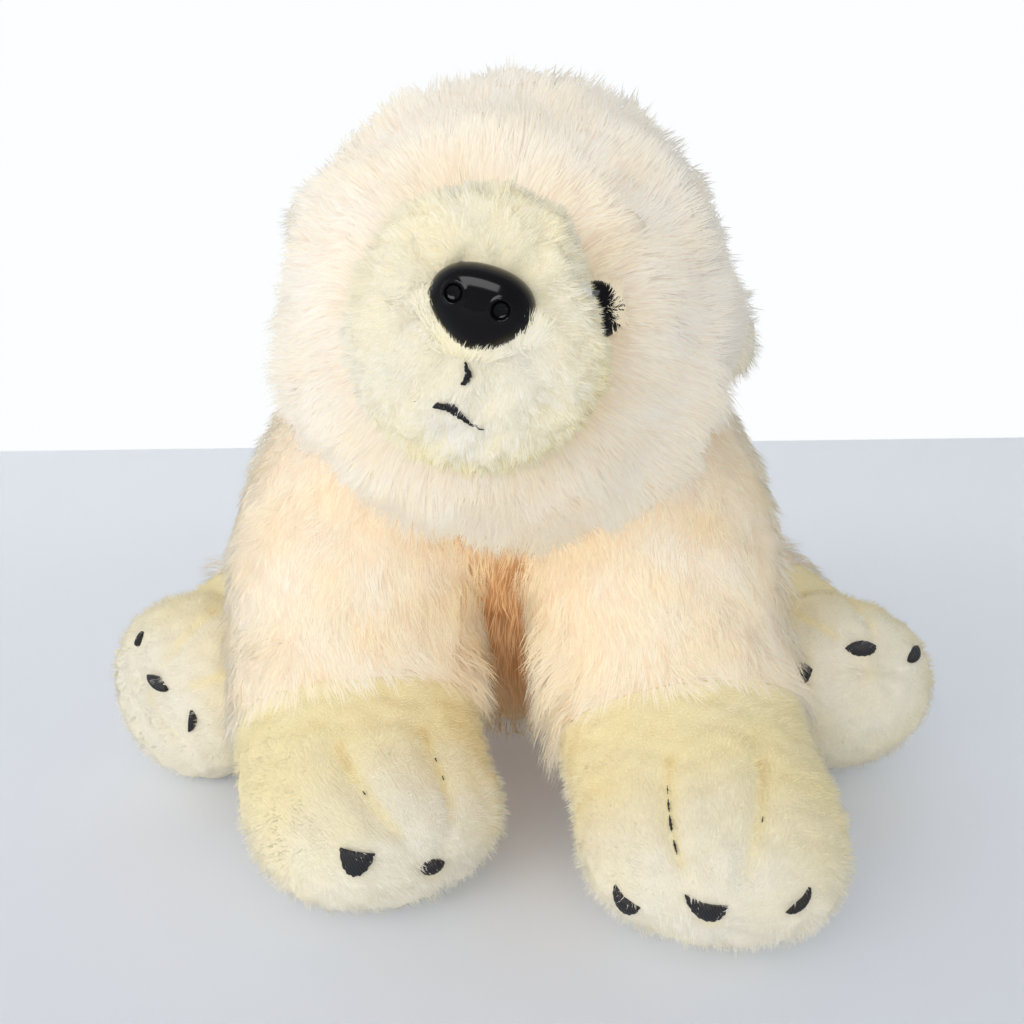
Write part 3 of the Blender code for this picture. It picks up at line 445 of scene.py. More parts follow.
def head_warmth(points):
    """Cool, near nought, at the crown; warmer in front; warmer under the chin and deepest in the furrow round
    the muzzle, most of all below, which is painted shade."""
    out = points - head_middle
    below = np.clip(-out[..., 2] / 0.05, 0, 1)
    forward = np.clip((out @ muzzle_axis) / 0.05, 0, 1)
    radius = np.linalg.norm(out - (out @ muzzle_axis)[..., None] * muzzle_axis, axis=-1)
    # Deep colour in a ring round the muzzle's base, strongest below: painted shade where it meets the head
    groove_shade = np.exp(-(((radius - GROOVE_RADIUS) / GROOVE_WIDTH) ** 2)) * (forward > 0.3)
    groove_shade = groove_shade * (0.25 + 0.75 * below)
    warm = 0.06 + 0.14 * below + 0.18 * forward**3 + 0.50 * groove_shade + 0.04 * waves(points, 0.02, 5)
    return np.clip(warm, 0.01, 0.99)


def head_length(points):
    """Longer on the cheeks and under the chin, short beside the eyes."""
    out = points - head_middle
    ruff = np.clip(0.5 - out[..., 2] / 0.06, 0, 1)
    length = HEAD_PILE + RUFF_PILE * ruff + 0.0011 * waves(points, 0.014, 22)
    return length * (1 - 0.45 * near(points, eyes_world, 0.008))


def head_share(points):
    """Even, more on the face side, and none on the eyes."""
    forward = (points - head_middle) @ muzzle_axis
    open_eye = near(points, eyes_world + OPENING_PLACE, EYE_OPENING) < 0.45
    return (1 + 0.7 * (forward > -0.01)) * open_eye


# How a lock stands and bends: its rise from the skin, its lean along the lie, the bend and fall of its
# outer half, its own and its tuft's straying, the swirls' strength, the tufts' spacing, how much their
# tips draw together, and how far its shading is turned to the face's front
LONG = {"bent": True, "length": head_length, "rise": 0.50, "lean": 0.80, "bend": 0.50, "fall": 0.10,
        "stray": 0.11, "sway": 0.22, "swirl": 0.22, "tuft": 0.0042, "pull": 0.34, "width": 0.00030,
        "face": muzzle_axis * 0.22}
head_skin = skin("head_cloth", head_coat, long_ground, head_warmth, lumpy(CLOTH_LUMPS, 0.009, 1))
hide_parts("head_skin")
head_pile = hairs("head_pile", head_coat, HEAD_LOCKS, head_share, LONG, head_warmth, long_pile, 11)
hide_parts("head_skin")


# The muzzle
# Cream short-pile velboa in a cup sewn into the head's front, stuffed firmly. Its shorn pile stands out in
# small tufts, and the right eye's button presses into its side.
MUZZLE_RADIUS = 0.0253
MUZZLE_LENGTH = 0.0212
MUZZLE_WALL = 0.0088
MUZZLE_TALL = 1.06
MUZZLE_SAG = 0.0022
MUZZLE_LIFT = 0.0042
NOSE_SEAT_RADIUS = 0.0085
SHORT_INSET = 0.0004
EYE_DENT = 0.0054
DENT_REACH = 0.012
MUZZLE_LUMPS = 0.0004
MUZZLE_LOCKS = 15000
SHORT_PILE = 0.0026
STUBBLE_WIDTH = 0.00049
STUBBLE_LENGTH = 0.00071
NOSE_STANDS = 0.0006


def muzzle_profile(steps):
    """How far forward, how wide and how lifted each ring is, from seam to nose: a quarter sine out to the
    widest ring, then a quarter ellipse to the seat; the middle sags by a sine and lifts by a square."""
    seam = seam_front - HEAD_WIDEST
    wall = np.clip(steps * 2, 0, 1)
    dome = np.clip(steps * 2 - 1, 0, 1) * math.pi / 2
    place = seam + MUZZLE_WALL * wall + (MUZZLE_LENGTH - MUZZLE_WALL) * np.sin(dome)
    radius = np.where(
        steps < 0.5,
        MUZZLE_SEAM_RADIUS + (MUZZLE_RADIUS - MUZZLE_SEAM_RADIUS) * np.sin(wall * math.pi / 2),
        NOSE_SEAT_RADIUS + (MUZZLE_RADIUS - NOSE_SEAT_RADIUS) * np.cos(dome))
    share = (place - seam) / MUZZLE_LENGTH
    return place, radius, MUZZLE_LIFT * share**2 - MUZZLE_SAG * np.sin(math.pi * share)


def muzzle_rings(steps, angles, inset):
    """The profile's rings, less an inset: taller than wide by how far each has swollen."""
    place, radius, lift = muzzle_profile(steps)
    swelling = np.clip((radius - MUZZLE_SEAM_RADIUS) / (MUZZLE_RADIUS - MUZZLE_SEAM_RADIUS), 0, 1)
    x = (radius - inset)[:, None] * np.cos(angles)[None, :]
    z = ((radius - inset) * (1 + (MUZZLE_TALL - 1) * swelling))[:, None] * np.sin(angles)[None, :]
    y = np.broadcast_to(inset - place[:, None], x.shape)
    return np.stack([x, y, z + lift[:, None]], axis=2)


# Shorn plush is duller than the long pile, and its darker roots between the tufts are painted shade, as is
# its deep third colour in the creases and at the muzzle's rim; its ground is speckled by the stubble
half_round = math.pi * (MUZZLE_RADIUS - SHORT_INSET)
muzzle_streaks = (round(half_round / STUBBLE_WIDTH), round(2 * MUZZLE_LENGTH / STUBBLE_LENGTH))
short_pile = new_material(
    "short_pile_velboa",
    pile_colours(("#e9e3d2", "#f9e6ac", "#dcb471"), ("#f5f1e7", "#fff3c6", "#f0d497")), 0.85,
    Sheen_Weight=0.25, Sheen_Roughness=0.5)
short_ground = new_material(
    "short_pile_ground", cloth_colours(("#eee8d8", "#f4e4b0", "#e0bc78"), muzzle_streaks, 0.0004), 0.95)
muzzle_rounds = from_head(muzzle_rings(np.linspace(0, 1, 40), circle(80), SHORT_INSET))
cheek = np.array([[MUZZLE_RADIUS, HEAD_WIDEST - seam_front - MUZZLE_WALL, MUZZLE_RADIUS * 0.66]])
eye_dent = EYE_DENT * near(muzzle_rounds, from_head(cheek), DENT_REACH)
muzzle_coat = pushed(muzzle_rounds, eye_dent + MUZZLE_LUMPS * waves(muzzle_rounds, 0.007, 23), -1, 0.1)
nose_place = np.array([0, HEAD_WIDEST - seam_front - MUZZLE_LENGTH - NOSE_STANDS, MUZZLE_LIFT])
nose_seat = from_head(nose_place[None])[0]


def muzzle_front(places):
    """The muzzle's surface in front of (x, z) places, in the head's frame: the profile's nearest ring."""
    place, radius, lift = muzzle_profile(np.linspace(0.5, 1, 500))
    x, z = places[:, :1], places[:, 1:]
    best = np.argmin(np.abs(np.hypot(x / radius, (z - lift) / (radius * MUZZLE_TALL)) - 1), axis=1)
    return np.column_stack([places[:, 0], -place[best], places[:, 1]])


# The mouth's two stitches, across and up from the muzzle's axis, and how thick each is at its corners
MOUTH_TOP = MUZZLE_LIFT - 0.0100
MOUTH_PEAK = MUZZLE_LIFT - 0.0176
STITCH_LIFT = 0.0005
STITCH_WANDER = 0.00018
MOUTH_LINES = {
    "philtrum_stitch": (((-0.0002, MOUTH_TOP), (0.0011, MOUTH_TOP - 0.0019), (0.0006, MOUTH_TOP - 0.0038)),
                        (0.0002, 0.0006, 0.0004)),
    "mouth_stitch": (((-0.0038, MOUTH_PEAK - 0.0018), (-0.0022, MOUTH_PEAK - 0.0013),
                      (-0.0008, MOUTH_PEAK - 0.0011), (0.0012, MOUTH_PEAK - 0.0021),
                      (0.0032, MOUTH_PEAK - 0.0030), (0.0060, MOUTH_PEAK - 0.0036)),
                     (0.0004, 0.0006, 0.0008, 0.0006, 0.0003, 0.0001)),
}
mouth_paths = {}
for name, (corners, widths) in MOUTH_LINES.items():
    where = np.linspace(0, len(corners) - 1, 40)
    flat = np.column_stack([np.interp(where, np.arange(len(corners)), column) for column in zip(*corners)])
    flat += STITCH_WANDER * np.column_stack([np.sin(where * 9), np.cos(where * 11 + 1)])
    mouth_paths[name] = from_head(muzzle_front(flat)) + muzzle_axis * STITCH_LIFT
mouth_line = np.vstack(list(mouth_paths.values()))


def muzzle_warmth(points):
    """Yellower on top, whiter below, in soft patches, and deep at the rim, most below and to the right, where
    it
    turns under: painted shade.
    """
    out = points - head_middle
    # The rim's deep colour, strongest below and to the right, is painted shade
    rim = np.clip((seam_front + 0.0145 - out @ muzzle_axis) / 0.009, 0, 1)
    below = np.clip(0.3 + (0.6 * out[..., 0] - out[..., 2]) / 0.03, 0, 1)
    warm = 0.24 + (points[..., 2] - nose_seat[2]) / 0.22 + 0.62 * rim * below + 0.05 * waves(points, 0.015, 8)
    return np.clip(warm, 0.05, 0.95)


def muzzle_share(points):
    """Even, none under the nose and few where a stitch lies."""
    clear = np.linalg.norm((points - nose_seat) * (0.8, 0.3, 1.05), axis=-1) > 0.0066
    return clear * np.where(near(points, mouth_line[::2], 0.0013) < 0.62, 1.0, 0.30)


SHORT = {"bent": False, "length": even(SHORT_PILE), "rise": 0.70, "lean": 0.50, "bend": 0.30, "fall": 0.05,
         "stray": 0.20, "sway": 0.30, "swirl": 0.25, "tuft": 0.0026, "pull": 0.50, "width": 0.00030,
         "face": muzzle_axis * 0.15}
muzzle_skin = skin("muzzle_cloth", muzzle_coat, short_ground, muzzle_warmth, lumpy(0.00035, 0.006, 2))
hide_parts("muzzle_skin")
muzzle_pile = hairs("muzzle_pile", muzzle_coat, MUZZLE_LOCKS, muzzle_share, SHORT, muzzle_warmth,
                    short_pile, 12)
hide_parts("muzzle_skin")


# The nose
# A gloss black button moulded in one with its shank, which passes through the cloth to a lock washer.
# Its face is a low dome with two dimples in thin raised rims.
NOSE_WIDTH = 0.0195
NOSE_HEIGHT = 0.0152
NOSE_DEPTH = 0.0075
NOSE_NARROWING = 0.30
NOSE_SHOULDER = 0.05
NOSE_FULLNESS = 2.3
SHANK_RADIUS = 0.0018
SHANK_LENGTH = 0.010
NOSTRILS = np.array([[-0.0046, 0.0016], [0.0039, 0.0010]])
NOSTRIL_RADIUS = 0.0017
NOSTRIL_DEPTH = 0.0013
RIM_HEIGHT = 0.00028
RIM_WIDTH = 0.00035
CLOUD_SIZE = 0.00556


def button_rings(angles):
    """Shank, flat back and dome. The dome's height is the depth times the root of one less the share to a
    power; each dimple sinks by a half circle's height over its own radius inside a bell-shaped rim."""
    x, z = np.cos(angles), np.sin(angles)
    shoulder = 1 + NOSE_SHOULDER * np.sin(angles * 2) ** 2 * (z > 0)
    outline = np.stack([x * (1 - NOSE_NARROWING * np.maximum(-z, 0)) * NOSE_WIDTH, z * NOSE_HEIGHT], axis=1)
    outline = outline * shoulder[:, None] / 2
    share = np.concatenate([[0.985], np.cos(np.linspace(0.0, 0.42, 8)), np.linspace(0.9, 0.02, 34)])
    height = NOSE_DEPTH * (1 - np.minimum(share, 1) ** NOSE_FULLNESS) ** (1 / NOSE_FULLNESS)
    height[0] = 0
    flat = outline[None] * share[:, None, None]
    height = np.broadcast_to(height[:, None], flat.shape[:2]).copy()
    for nostril in NOSTRILS:
        far = np.linalg.norm(flat - nostril, axis=2)
        height -= NOSTRIL_DEPTH * np.sqrt(np.maximum(1 - (far / NOSTRIL_RADIUS) ** 2, 0))
        height += RIM_HEIGHT * np.exp(-(((far - NOSTRIL_RADIUS - RIM_WIDTH / 2) / RIM_WIDTH) ** 2))
    stem = np.stack([np.cos(angles), np.sin(angles)], axis=1) * SHANK_RADIUS
    flat = np.concatenate([np.stack([stem, stem]), flat])
    height = np.concatenate([np.stack([np.full(len(angles), -SHANK_LENGTH), np.zeros(len(angles))]), height])
    return from_head(np.stack([flat[..., 0], -height, flat[..., 1]], axis=2) + nose_place)


def gloss_black(tree):
    """Black plastic with the faint clouds of a moulded surface, a few millimetres across."""
    place = add(tree, "TexCoord")
    cloud = add(tree, "TexNoise", {"Vector": place.outputs["Object"], "Scale": 1 / CLOUD_SIZE, "Detail": 2.0})
    dark, pale = linear("#070609"), linear("#0c0b0f")
    both = add(tree, "Mix", {0: cloud.outputs[0], 6: dark, 7: pale}, data_type="RGBA")
    return both.outputs[2], None


# Injection-moulded black plastic: smooth enough for a lamp's clear reflection, kept dim as on the real one
gloss_plastic = new_material("gloss_black_plastic", gloss_black, 0.13, Specular_IOR_Level=0.16)
button = button_rings(circle(96))
points, faces = closed_grid(button)
nose = new_piece("nose_button", points, faces, wrapped_map(*button.shape[:2]), gloss_plastic)
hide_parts("nose")


FRINGE_PILE = 0.0074
FRINGE_BAND = (1.04, 1.32)
FRINGE_TOP = -0.0018
head_side = from_head(np.array([[1.0, 0, 0]]))[0] - head_middle
head_top = from_head(np.array([[0, 0, 1.0]]))[0] - head_middle


def fringe_share(points):
    """One in a narrow band under the nose's lower half, between two sizes of its outline, or nought."""
    across, up = (points - nose_seat) @ head_side, (points - nose_seat) @ head_top
    reach = np.hypot(across / (NOSE_WIDTH / 2 * 0.86), up / (NOSE_HEIGHT / 2))
    return 1.0 * ((reach > FRINGE_BAND[0]) & (reach < FRINGE_BAND[1]) & (up < FRINGE_TOP))


# The muzzle's longest pile laps raggedly over the nose's lower edge; a slightly deeper colour on it is
# painted shade
fringe_coat = {**muzzle_coat, "lie": np.broadcast_to(head_top, muzzle_coat["lie"].shape)}
nose_fringe = hairs("nose_fringe", fringe_coat, 1200, fringe_share,
                    {**SHORT, "bent": True, "length": even(FRINGE_PILE), "rise": 1.0, "lean": 0.42,
                     "bend": 1.0, "stray": 0.22, "pull": 0.4, "width": 0.00024},
                    lambda points: muzzle_warmth(points) + 0.12, short_pile, 17)
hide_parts("muzzle_skin")


# The eyes
# Gloss black domes moulded on their shanks, pushed through the face cloth beside the muzzle and locked
# behind it. The head's pile hangs over each one's outer side.
EYE_RADIUS = 0.0057
EYE_DEPTH = 0.0040
EYE_SHANK_RADIUS = 0.0012
EYE_SHANK_LENGTH = 0.0125
SEAT_GAP = 0.0003


def turned_rings(profile, seat, normal):
    """Circles of radius and height about a normal through a seat."""
    angles = circle(48)
    side = unit(np.cross((0, 0, 1.0), normal))
    top = np.cross(normal, side)
    ring = side[None] * np.cos(angles)[:, None] + top[None] * np.sin(angles)[:, None]
    radius, height = np.array(profile).T
    return seat + ring[None] * radius[:, None, None] + normal * height[:, None, None]


for side, name in ((0, "left"), (1, "right")):
    turns = np.linspace(0, math.pi / 2 - 0.03, 22)
    profile = [(EYE_SHANK_RADIUS, -EYE_SHANK_LENGTH), (EYE_SHANK_RADIUS, 0), (EYE_RADIUS * 0.985, 0)]
    profile += [(EYE_RADIUS * math.cos(turn), EYE_DEPTH * math.sin(turn)) for turn in turns]
    away = from_head(eye_normals[side:side + 1])[0] - head_middle
    rings = turned_rings(profile, eyes_world[side] + away * SEAT_GAP, away)
    points, faces = closed_grid(rings)
    eye = new_piece(name + "_eye_button", points, faces, wrapped_map(*rings.shape[:2]), gloss_plastic)
    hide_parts(name + "_eye")


EYE_RING = (0.0050, 0.0080)
EYE_FRINGE = 0.0042
OUTER_LONGER = 0.0027


def outer_side(points):
    """From nought on an eye's muzzle side to one on its outer side."""
    nearest = eyes_world[np.argmin([np.linalg.norm(points - place, axis=-1) for place in eyes_world], axis=0)]
    across = np.cross(muzzle_axis, (0, 0, 1.0)) * np.sign(nearest[..., :1] - head_middle[0])
    return np.clip(np.sum((points - nearest) * -across, axis=-1) / 0.005, 0, 1)


def brow_share(points):
    """A ring just outside each eye's button, thick on its outer side."""
    gaps = np.stack([np.linalg.norm(points - place, axis=-1) for place in eyes_world]).min(axis=0)
    return ((gaps > EYE_RING[0]) & (gaps < EYE_RING[1])) * (0.15 + outer_side(points))


# The pile beside an eye bends over towards it; a slightly deeper colour on it is painted shade beside the eye
nearer = np.argmin([np.linalg.norm(head_coat["rings"] - place, axis=2) for place in eyes_world], axis=0)
to_eye = eyes_world[nearer] - head_coat["rings"]
to_eye = unit(to_eye - head_coat["normal"] * np.sum(to_eye * head_coat["normal"], axis=2, keepdims=True))
brows = hairs("eye_fringe", {**head_coat, "lie": to_eye}, 2200, brow_share,
              {**LONG, "length": lambda points: EYE_FRINGE + OUTER_LONGER * outer_side(points), "rise": 0.75,
               "lean": 0.60, "bend": 0.90, "fall": 0.0, "stray": 0.10, "sway": 0.10, "swirl": 0.10,
               "pull": 0.15, "width": 0.00032},
              lambda points: head_warmth(points) + 0.06, long_pile, 18)
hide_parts("head_skin")


# The mouth
# A short upright stitch under the nose and an inverted V below it, in three-ply black thread that is
# drawn down into the pile.
PLY_TURN = 0.0021


def rope(path, radii, plies, sides=8):
    """Closed tubes wound about a path: each ply turns once a pitch at half the rope's radius."""
    along = unit(np.gradient(path, axis=0))
    side = unit(np.cross(along, (0.3, -1.0, 0.2)))
    top = np.cross(along, side)
    length = np.concatenate([[0], np.cumsum(np.linalg.norm(np.diff(path, axis=0), axis=1))])
    angles = circle(sides)
    tubes = []
    for ply in range(plies):
        turn = length / PLY_TURN * math.tau + ply * math.tau / plies
        middle = path + (side * np.cos(turn)[:, None] + top * np.sin(turn)[:, None]) * radii[:, None] * 0.5
        ring = side[:, None] * np.cos(angles)[None, :, None] + top[:, None] * np.sin(angles)[None, :, None]
        tubes.append(middle[:, None] + ring * (radii * 0.62)[:, None, None])
    return tubes


def joined(grids):
    """Several closed grids as one mesh's points, triangles and map."""
    points, faces, maps, count = [], [], [], 0
    for grid in grids:
        these, sides = closed_grid(grid)
        points.append(these)
        faces.append(sides + count)
        maps.append(wrapped_map(*grid.shape[:2]))
        count += len(these)
    return np.vstack(points), np.vstack(faces), np.vstack(maps)


def thread_black(tree):
    """Black embroidery thread: dull, with the glint of single strands along it painted in as a paler colour.
    """
    place = add(tree, "UVMap", uv_map="OFBake")
    stretched = add(tree, "Mapping", {0: place.outputs[0], "Scale": (30, 14, 1)})
    strand = add(tree, "TexNoise", {"Vector": stretched.outputs[0], "Scale": 1.0, "Detail": 3.0})
    level = add(tree, "MapRange", {0: strand.outputs[0], 1: 0.52, 2: 0.75})
    # The paler colour is a painted glint
    dark, pale = linear("#100f14"), linear("#35333b")
    both = add(tree, "Mix", {0: level.outputs[0], 6: dark, 7: pale}, data_type="RGBA")
    raised = add(tree, "Bump", {"Height": strand.outputs[0], "Strength": 0.5, "Distance": 0.0002})
    return both.outputs[2], raised.outputs[0]


# Twisted black rayon: darker than the plush's shade, with only a dull glint along each ply, painted into its
# colour
thread = new_material("black_embroidery_thread", thread_black, 0.62)
for name, (corners, widths) in MOUTH_LINES.items():
    radii = np.interp(np.linspace(0, len(corners) - 1, 40), np.arange(len(corners)), widths)
    points, faces, uv = joined(rope(mouth_paths[name], radii, 3))
    stitch = new_piece(name + "_thread", points, faces, uv, thread)
    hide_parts(name)


# The ears
# Doubled half-round flaps of the muzzle's short pile, hardly stuffed, cupped forwards and sewn low at the
# sides of the head.
EAR_REACH = 0.0175
EAR_WIDTH = 0.026
EAR_THICKNESS = 0.010
EAR_CUP = 0.0025
EAR_TURN = math.radians(14)
EAR_APART = 0.090
EAR_BACK = 0.018
EAR_UP = 0.006
EAR_PILE = 0.0036
EAR_LOCKS = 3000


def ear_rings(side):
    """An ellipsoid with its poles up and down, its middle pushed back by a cup that fades to its rim, and
    turned backwards about the upright."""
    up = np.linspace(-0.995, 0.995, 24)[:, None]
    angle = circle(40)[None, :]
    across = np.sqrt(1 - up**2) * np.cos(angle)
    x = EAR_REACH * across
    y = EAR_THICKNESS / 2 * np.sqrt(1 - up**2) * np.sin(angle) + EAR_CUP * (1 - across**2) * (1 - up**2)
    z = np.broadcast_to(EAR_WIDTH / 2 * up, x.shape)
    turn = side * EAR_TURN
    cos, sin = math.cos(turn), math.sin(turn)
    turned = np.stack([x * cos - y * sin, x * sin + y * cos, z], axis=2)
    return from_head(turned + np.array([side * EAR_APART / 2, EAR_BACK, EAR_UP]))


def everywhere(points):
    """One at every point."""
    return np.ones(points.shape[:-1])


ear_warmth = lumpy(0.03, 0.01, 4, 0.1)
for side, name in ((-1, "left"), (1, "right")):
    ear_coat = pelt(ear_rings(side), 0, 0.6)
    ear_skin = skin(name + "_ear_cloth", ear_coat, short_ground, ear_warmth, lumpy(0.0003, 0.006, 3))
    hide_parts(name + "_ear")
    ear_pile = hairs(name + "_ear_pile", ear_coat, EAR_LOCKS, everywhere, {**SHORT, "length": even(EAR_PILE)},
                     ear_warmth, short_pile, 20 + side)
    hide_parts(name + "_ear")


# The body
# A long-pile pear with a flat seat, loosely stuffed and open at the neck, where the head is sewn on. Its
# pile is a little longer than the head's and hangs down.
TORSO_SPINE = ((-0.003, 0.106, 0.039), (-0.003, 0.080, 0.040), (-0.003, 0.048, 0.050), (-0.003, 0.020, 0.071),
               (-0.003, 0.000, 0.092), (-0.003, -0.010, 0.112))
TORSO_HALVES = ((0.056, 0.047),) * 3 + ((0.047, 0.036), (0.042, 0.033), (0.042, 0.033))


def smooth_path(points, where):
    """Catmull-Rom through the points; where counts in points, from 0."""
    points = np.asarray(points, float)
    padded = np.vstack([2 * points[0] - points[1], points, 2 * points[-1] - points[-2]])
    low = np.clip(np.floor(where).astype(int), 0, len(points) - 2)
    t = (where - low)[:, None]
    before, start, end, after = (padded[low + k] for k in range(4))
    return 0.5 * (2 * start + (end - before) * t + (2 * before - 5 * start + 4 * end - after) * t**2
                  + (3 * start - before - 3 * end + after) * t**3)


def tube_rings(spine, halves, sides, places, shrink, angles, inset):
    """Ellipses across a smooth spine, less an inset, each scaled by its shrink, which rounds the ends."""
    centre = smooth_path(spine, places)
    along = unit(smooth_path(spine, places + 1e-3) - smooth_path(spine, places - 1e-3))
    half = (smooth_path(halves, places) - inset) * shrink[:, None]
    across = smooth_path(sides, places)
    across = unit(across - np.sum(across * along, axis=1, keepdims=True) * along)
    upward = np.cross(along, across)
    cos, sin = np.cos(angles)[None, :, None], np.sin(angles)[None, :, None]
    rings = centre[:, None] + across[:, None] * half[:, None, :1] * cos
    rings = rings + upward[:, None] * half[:, None, 1:] * sin
    rings[..., 2] = np.maximum(rings[..., 2], min(inset, 0.002))
    return rings + BEAR_PLACE


def rounded(start, full, middle_count, full_end, end, bluntness=2.2, count=16):
    """Places along a spine with superelliptic ends, and how far each ring shrinks."""
    reach = np.sin(np.linspace(0, math.pi / 2, count + 1)[:-1] * 0.985 + 0.02)
    shrink = (1 - reach**bluntness) ** (1 / bluntness)
    places, shrinks = [np.linspace(full, full_end, middle_count)], [np.ones(middle_count)]
    if start is not None:
        places.insert(0, (full + (start - full) * reach)[::-1])
        shrinks.insert(0, shrink[::-1])
    if end is not None:
        places.append(full_end + (end - full_end) * reach)
        shrinks.append(shrink)
    return np.concatenate(places), np.concatenate(shrinks)


LONG_INSET = 0.0004
BODY_PILE = 0.0100
BODY_LOCKS = 14000
LIMB_LUMPS = 0.0007
COLUMNS = 72
body_places, body_shrink = rounded(0.0, 1.3, 22, 3.4, 5.0)
body_coat = pelt(tube_rings(TORSO_SPINE, TORSO_HALVES, ((1, 0, 0),) * 6, body_places, body_shrink,
                            circle(COLUMNS), LONG_INSET), -1, 0.7)


def body_warmth(points):
    """Warm in front and deep low between the legs, which is painted shade under the head and between the
    legs; pale over the back.
    """
    place = points - BEAR_PLACE
    front = np.clip((0.045 - place[..., 1]) / 0.05, 0, 1)
    low = np.clip((0.085 - place[..., 2]) / 0.05, 0, 1) * np.clip((0.060 - place[..., 1]) / 0.02, 0, 1)
    return np.clip(0.18 + 0.60 * front + 0.30 * low + 0.05 * waves(points, 0.02, 6), 0.02, 0.98)


def above_floor(points):
    """One, or nought where the skin lies on the floor."""
    return 1.0 * (points[..., 2] > 0.004)


BODY = {**LONG, "face": np.zeros(3), "length": lumpy(0.001, 0.02, 9, BODY_PILE), "rise": 0.55,
        "lean": 0.75, "bend": 0.5, "fall": 0.35}
body_skin = skin("body_cloth", body_coat, long_ground, body_warmth, lumpy(LIMB_LUMPS, 0.012, 7))
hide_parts("body_skin")
body_pile = hairs("body_pile", body_coat, BODY_LOCKS, above_floor, BODY, body_warmth, long_pile, 13)
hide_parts("body_skin")


# The legs and paws
# Each limb is one stuffed tube: a long-pile sleeve down to a seam, then a short-pile paw whose toes are
# parted by two channels sewn through it with dark thread.
LIMB_SPINES = {
    "right_front": ((0.020, 0.014, 0.119), (0.031, -0.010, 0.076), (0.035, -0.022, 0.051),
                    (0.0385, -0.037, 0.0310), (0.0415, -0.062, 0.0200), (0.0370, -0.0940, 0.0155)),
    "left_front": ((-0.026, 0.014, 0.121), (-0.0415, -0.007, 0.076), (-0.0445, -0.017, 0.051),
                   (-0.0425, -0.029, 0.0310), (-0.0370, -0.050, 0.0200), (-0.0210, -0.0745, 0.0150)),
    "right_hind": ((0.020, 0.064, 0.046), (0.052, 0.047, 0.035), (0.073, 0.034, 0.0295),
                   (0.0835, 0.021, 0.0255), (0.0890, 0.006, 0.0280), (0.0930, -0.014, 0.0380)),
    "left_hind": ((-0.026, 0.064, 0.046), (-0.056, 0.047, 0.035), (-0.077, 0.034, 0.0290),
                  (-0.0875, 0.021, 0.0245), (-0.0945, 0.006, 0.0260), (-0.1030, -0.010, 0.0290)),
}
FRONT_HALVES = ((0.0335, 0.0265),) * 2 + ((0.0310, 0.0240),) * 2 + ((0.0310, 0.0210), (0.0330, 0.0165))
HIND_HALVES = ((0.034, 0.036),) * 2 + ((0.029, 0.029), (0.0278, 0.0252), (0.0278, 0.0252), (0.0278, 0.0215))
PAW_SIDES = {"right_front": (math.cos(math.radians(4)), math.sin(math.radians(4)), 0),
             "left_front": (math.cos(math.radians(38)), math.sin(math.radians(38)), 0),
             "right_hind": (0.93, 0.36, 0.0), "left_hind": (0.72, -0.10, -0.68)}
CHANNEL_DEPTH = 0.0013
CHANNEL_SPREAD = math.radians(21)
CHANNEL_WIDTH = math.radians(6)


def limb_sides(name):
    """The limb's width direction at each spine point, from the body's to the paw's in even steps."""
    spine = LIMB_SPINES[name]
    start = np.array([1.0, 0, 0])
    if "hind" in name:
        start = np.array([spine[1][1] - spine[2][1], spine[2][0] - spine[1][0], 0])
        start = start * math.copysign(1, start[0]) / np.linalg.norm(start)
    share = np.linspace(0, 1, 6)[:, None]
    return start * (1 - share) + np.array(PAW_SIDES[name]) * share


def channels(places, angles):
    """How deep the two sewn channels sink: a bell across each, rising from the instep and fading at the
    toe's tip."""
    rise = np.clip((places - 3.5) / 1.5 * 3, 0, 1) * np.clip((5.0 - places) / 0.15, 0, 1)
    return CHANNEL_DEPTH * rise[:, None] * np.exp(
        -(((np.abs(angles - math.pi / 2) - CHANNEL_SPREAD) / CHANNEL_WIDTH) ** 2))[None, :]


def leg_warmth(points):
    """Peach down the legs' fronts; deeper where they meet the chest and deepest inside and behind, which is
    painted shade between the legs and the body.
    """
    place = points - BEAR_PLACE
    inner = np.exp(-((place[..., 0] + 0.003) / 0.020) ** 2)
    high = np.clip((place[..., 2] - 0.03) / 0.06, 0, 1)
    behind = np.clip((place[..., 1] + 0.030) / 0.03, 0, 1) * (np.abs(place[..., 0]) < 0.045)
    warm = 0.32 + 0.22 * inner * high + 0.40 * inner * behind + 0.06 * waves(points, 0.018, 10)
    return np.clip(warm, 0.02, 0.98)


# Where the pile hangs longest, inside each front leg above its paw
FRINGES = np.array([[0.0085, -0.034, 0.044], [-0.0125, -0.030, 0.050]]) + BEAR_PLACE
LEG_PILE = 0.0098
SHOULDER_SHORTER = 0.0030
FRINGE_LONGER = 0.0050


def leg_length(points):
    """Shorter over the shoulder, uneven in patches, and longest at the fringes inside the legs."""
    shoulder = np.clip((points[..., 2] - 0.055) / 0.03, 0, 1)
    longer = FRINGE_LONGER * near(points, FRINGES, 0.014) + 0.0012 * waves(points, 0.015, 15)
    return LEG_PILE - SHOULDER_SHORTER * shoulder + longer


def instep_warmth(toe, creases):
    """Yellow on the instep, whiter towards the toe and underneath, and yellow along the toes' creases as
    painted shade.
    """
    def warmth(points):
        back = np.clip((np.linalg.norm(points - toe, axis=-1) - 0.014) / 0.024, 0, 1)
        high = np.clip((points[..., 2] - 0.006) / 0.024, 0, 1)
        crease_shade = near(points, creases, 0.0014)
        warm = 0.12 + 0.46 * back * high + 0.35 * crease_shade + 0.03 * waves(points, 0.016, 14)
        return np.clip(warm, 0.02, 0.98)
    return warmth


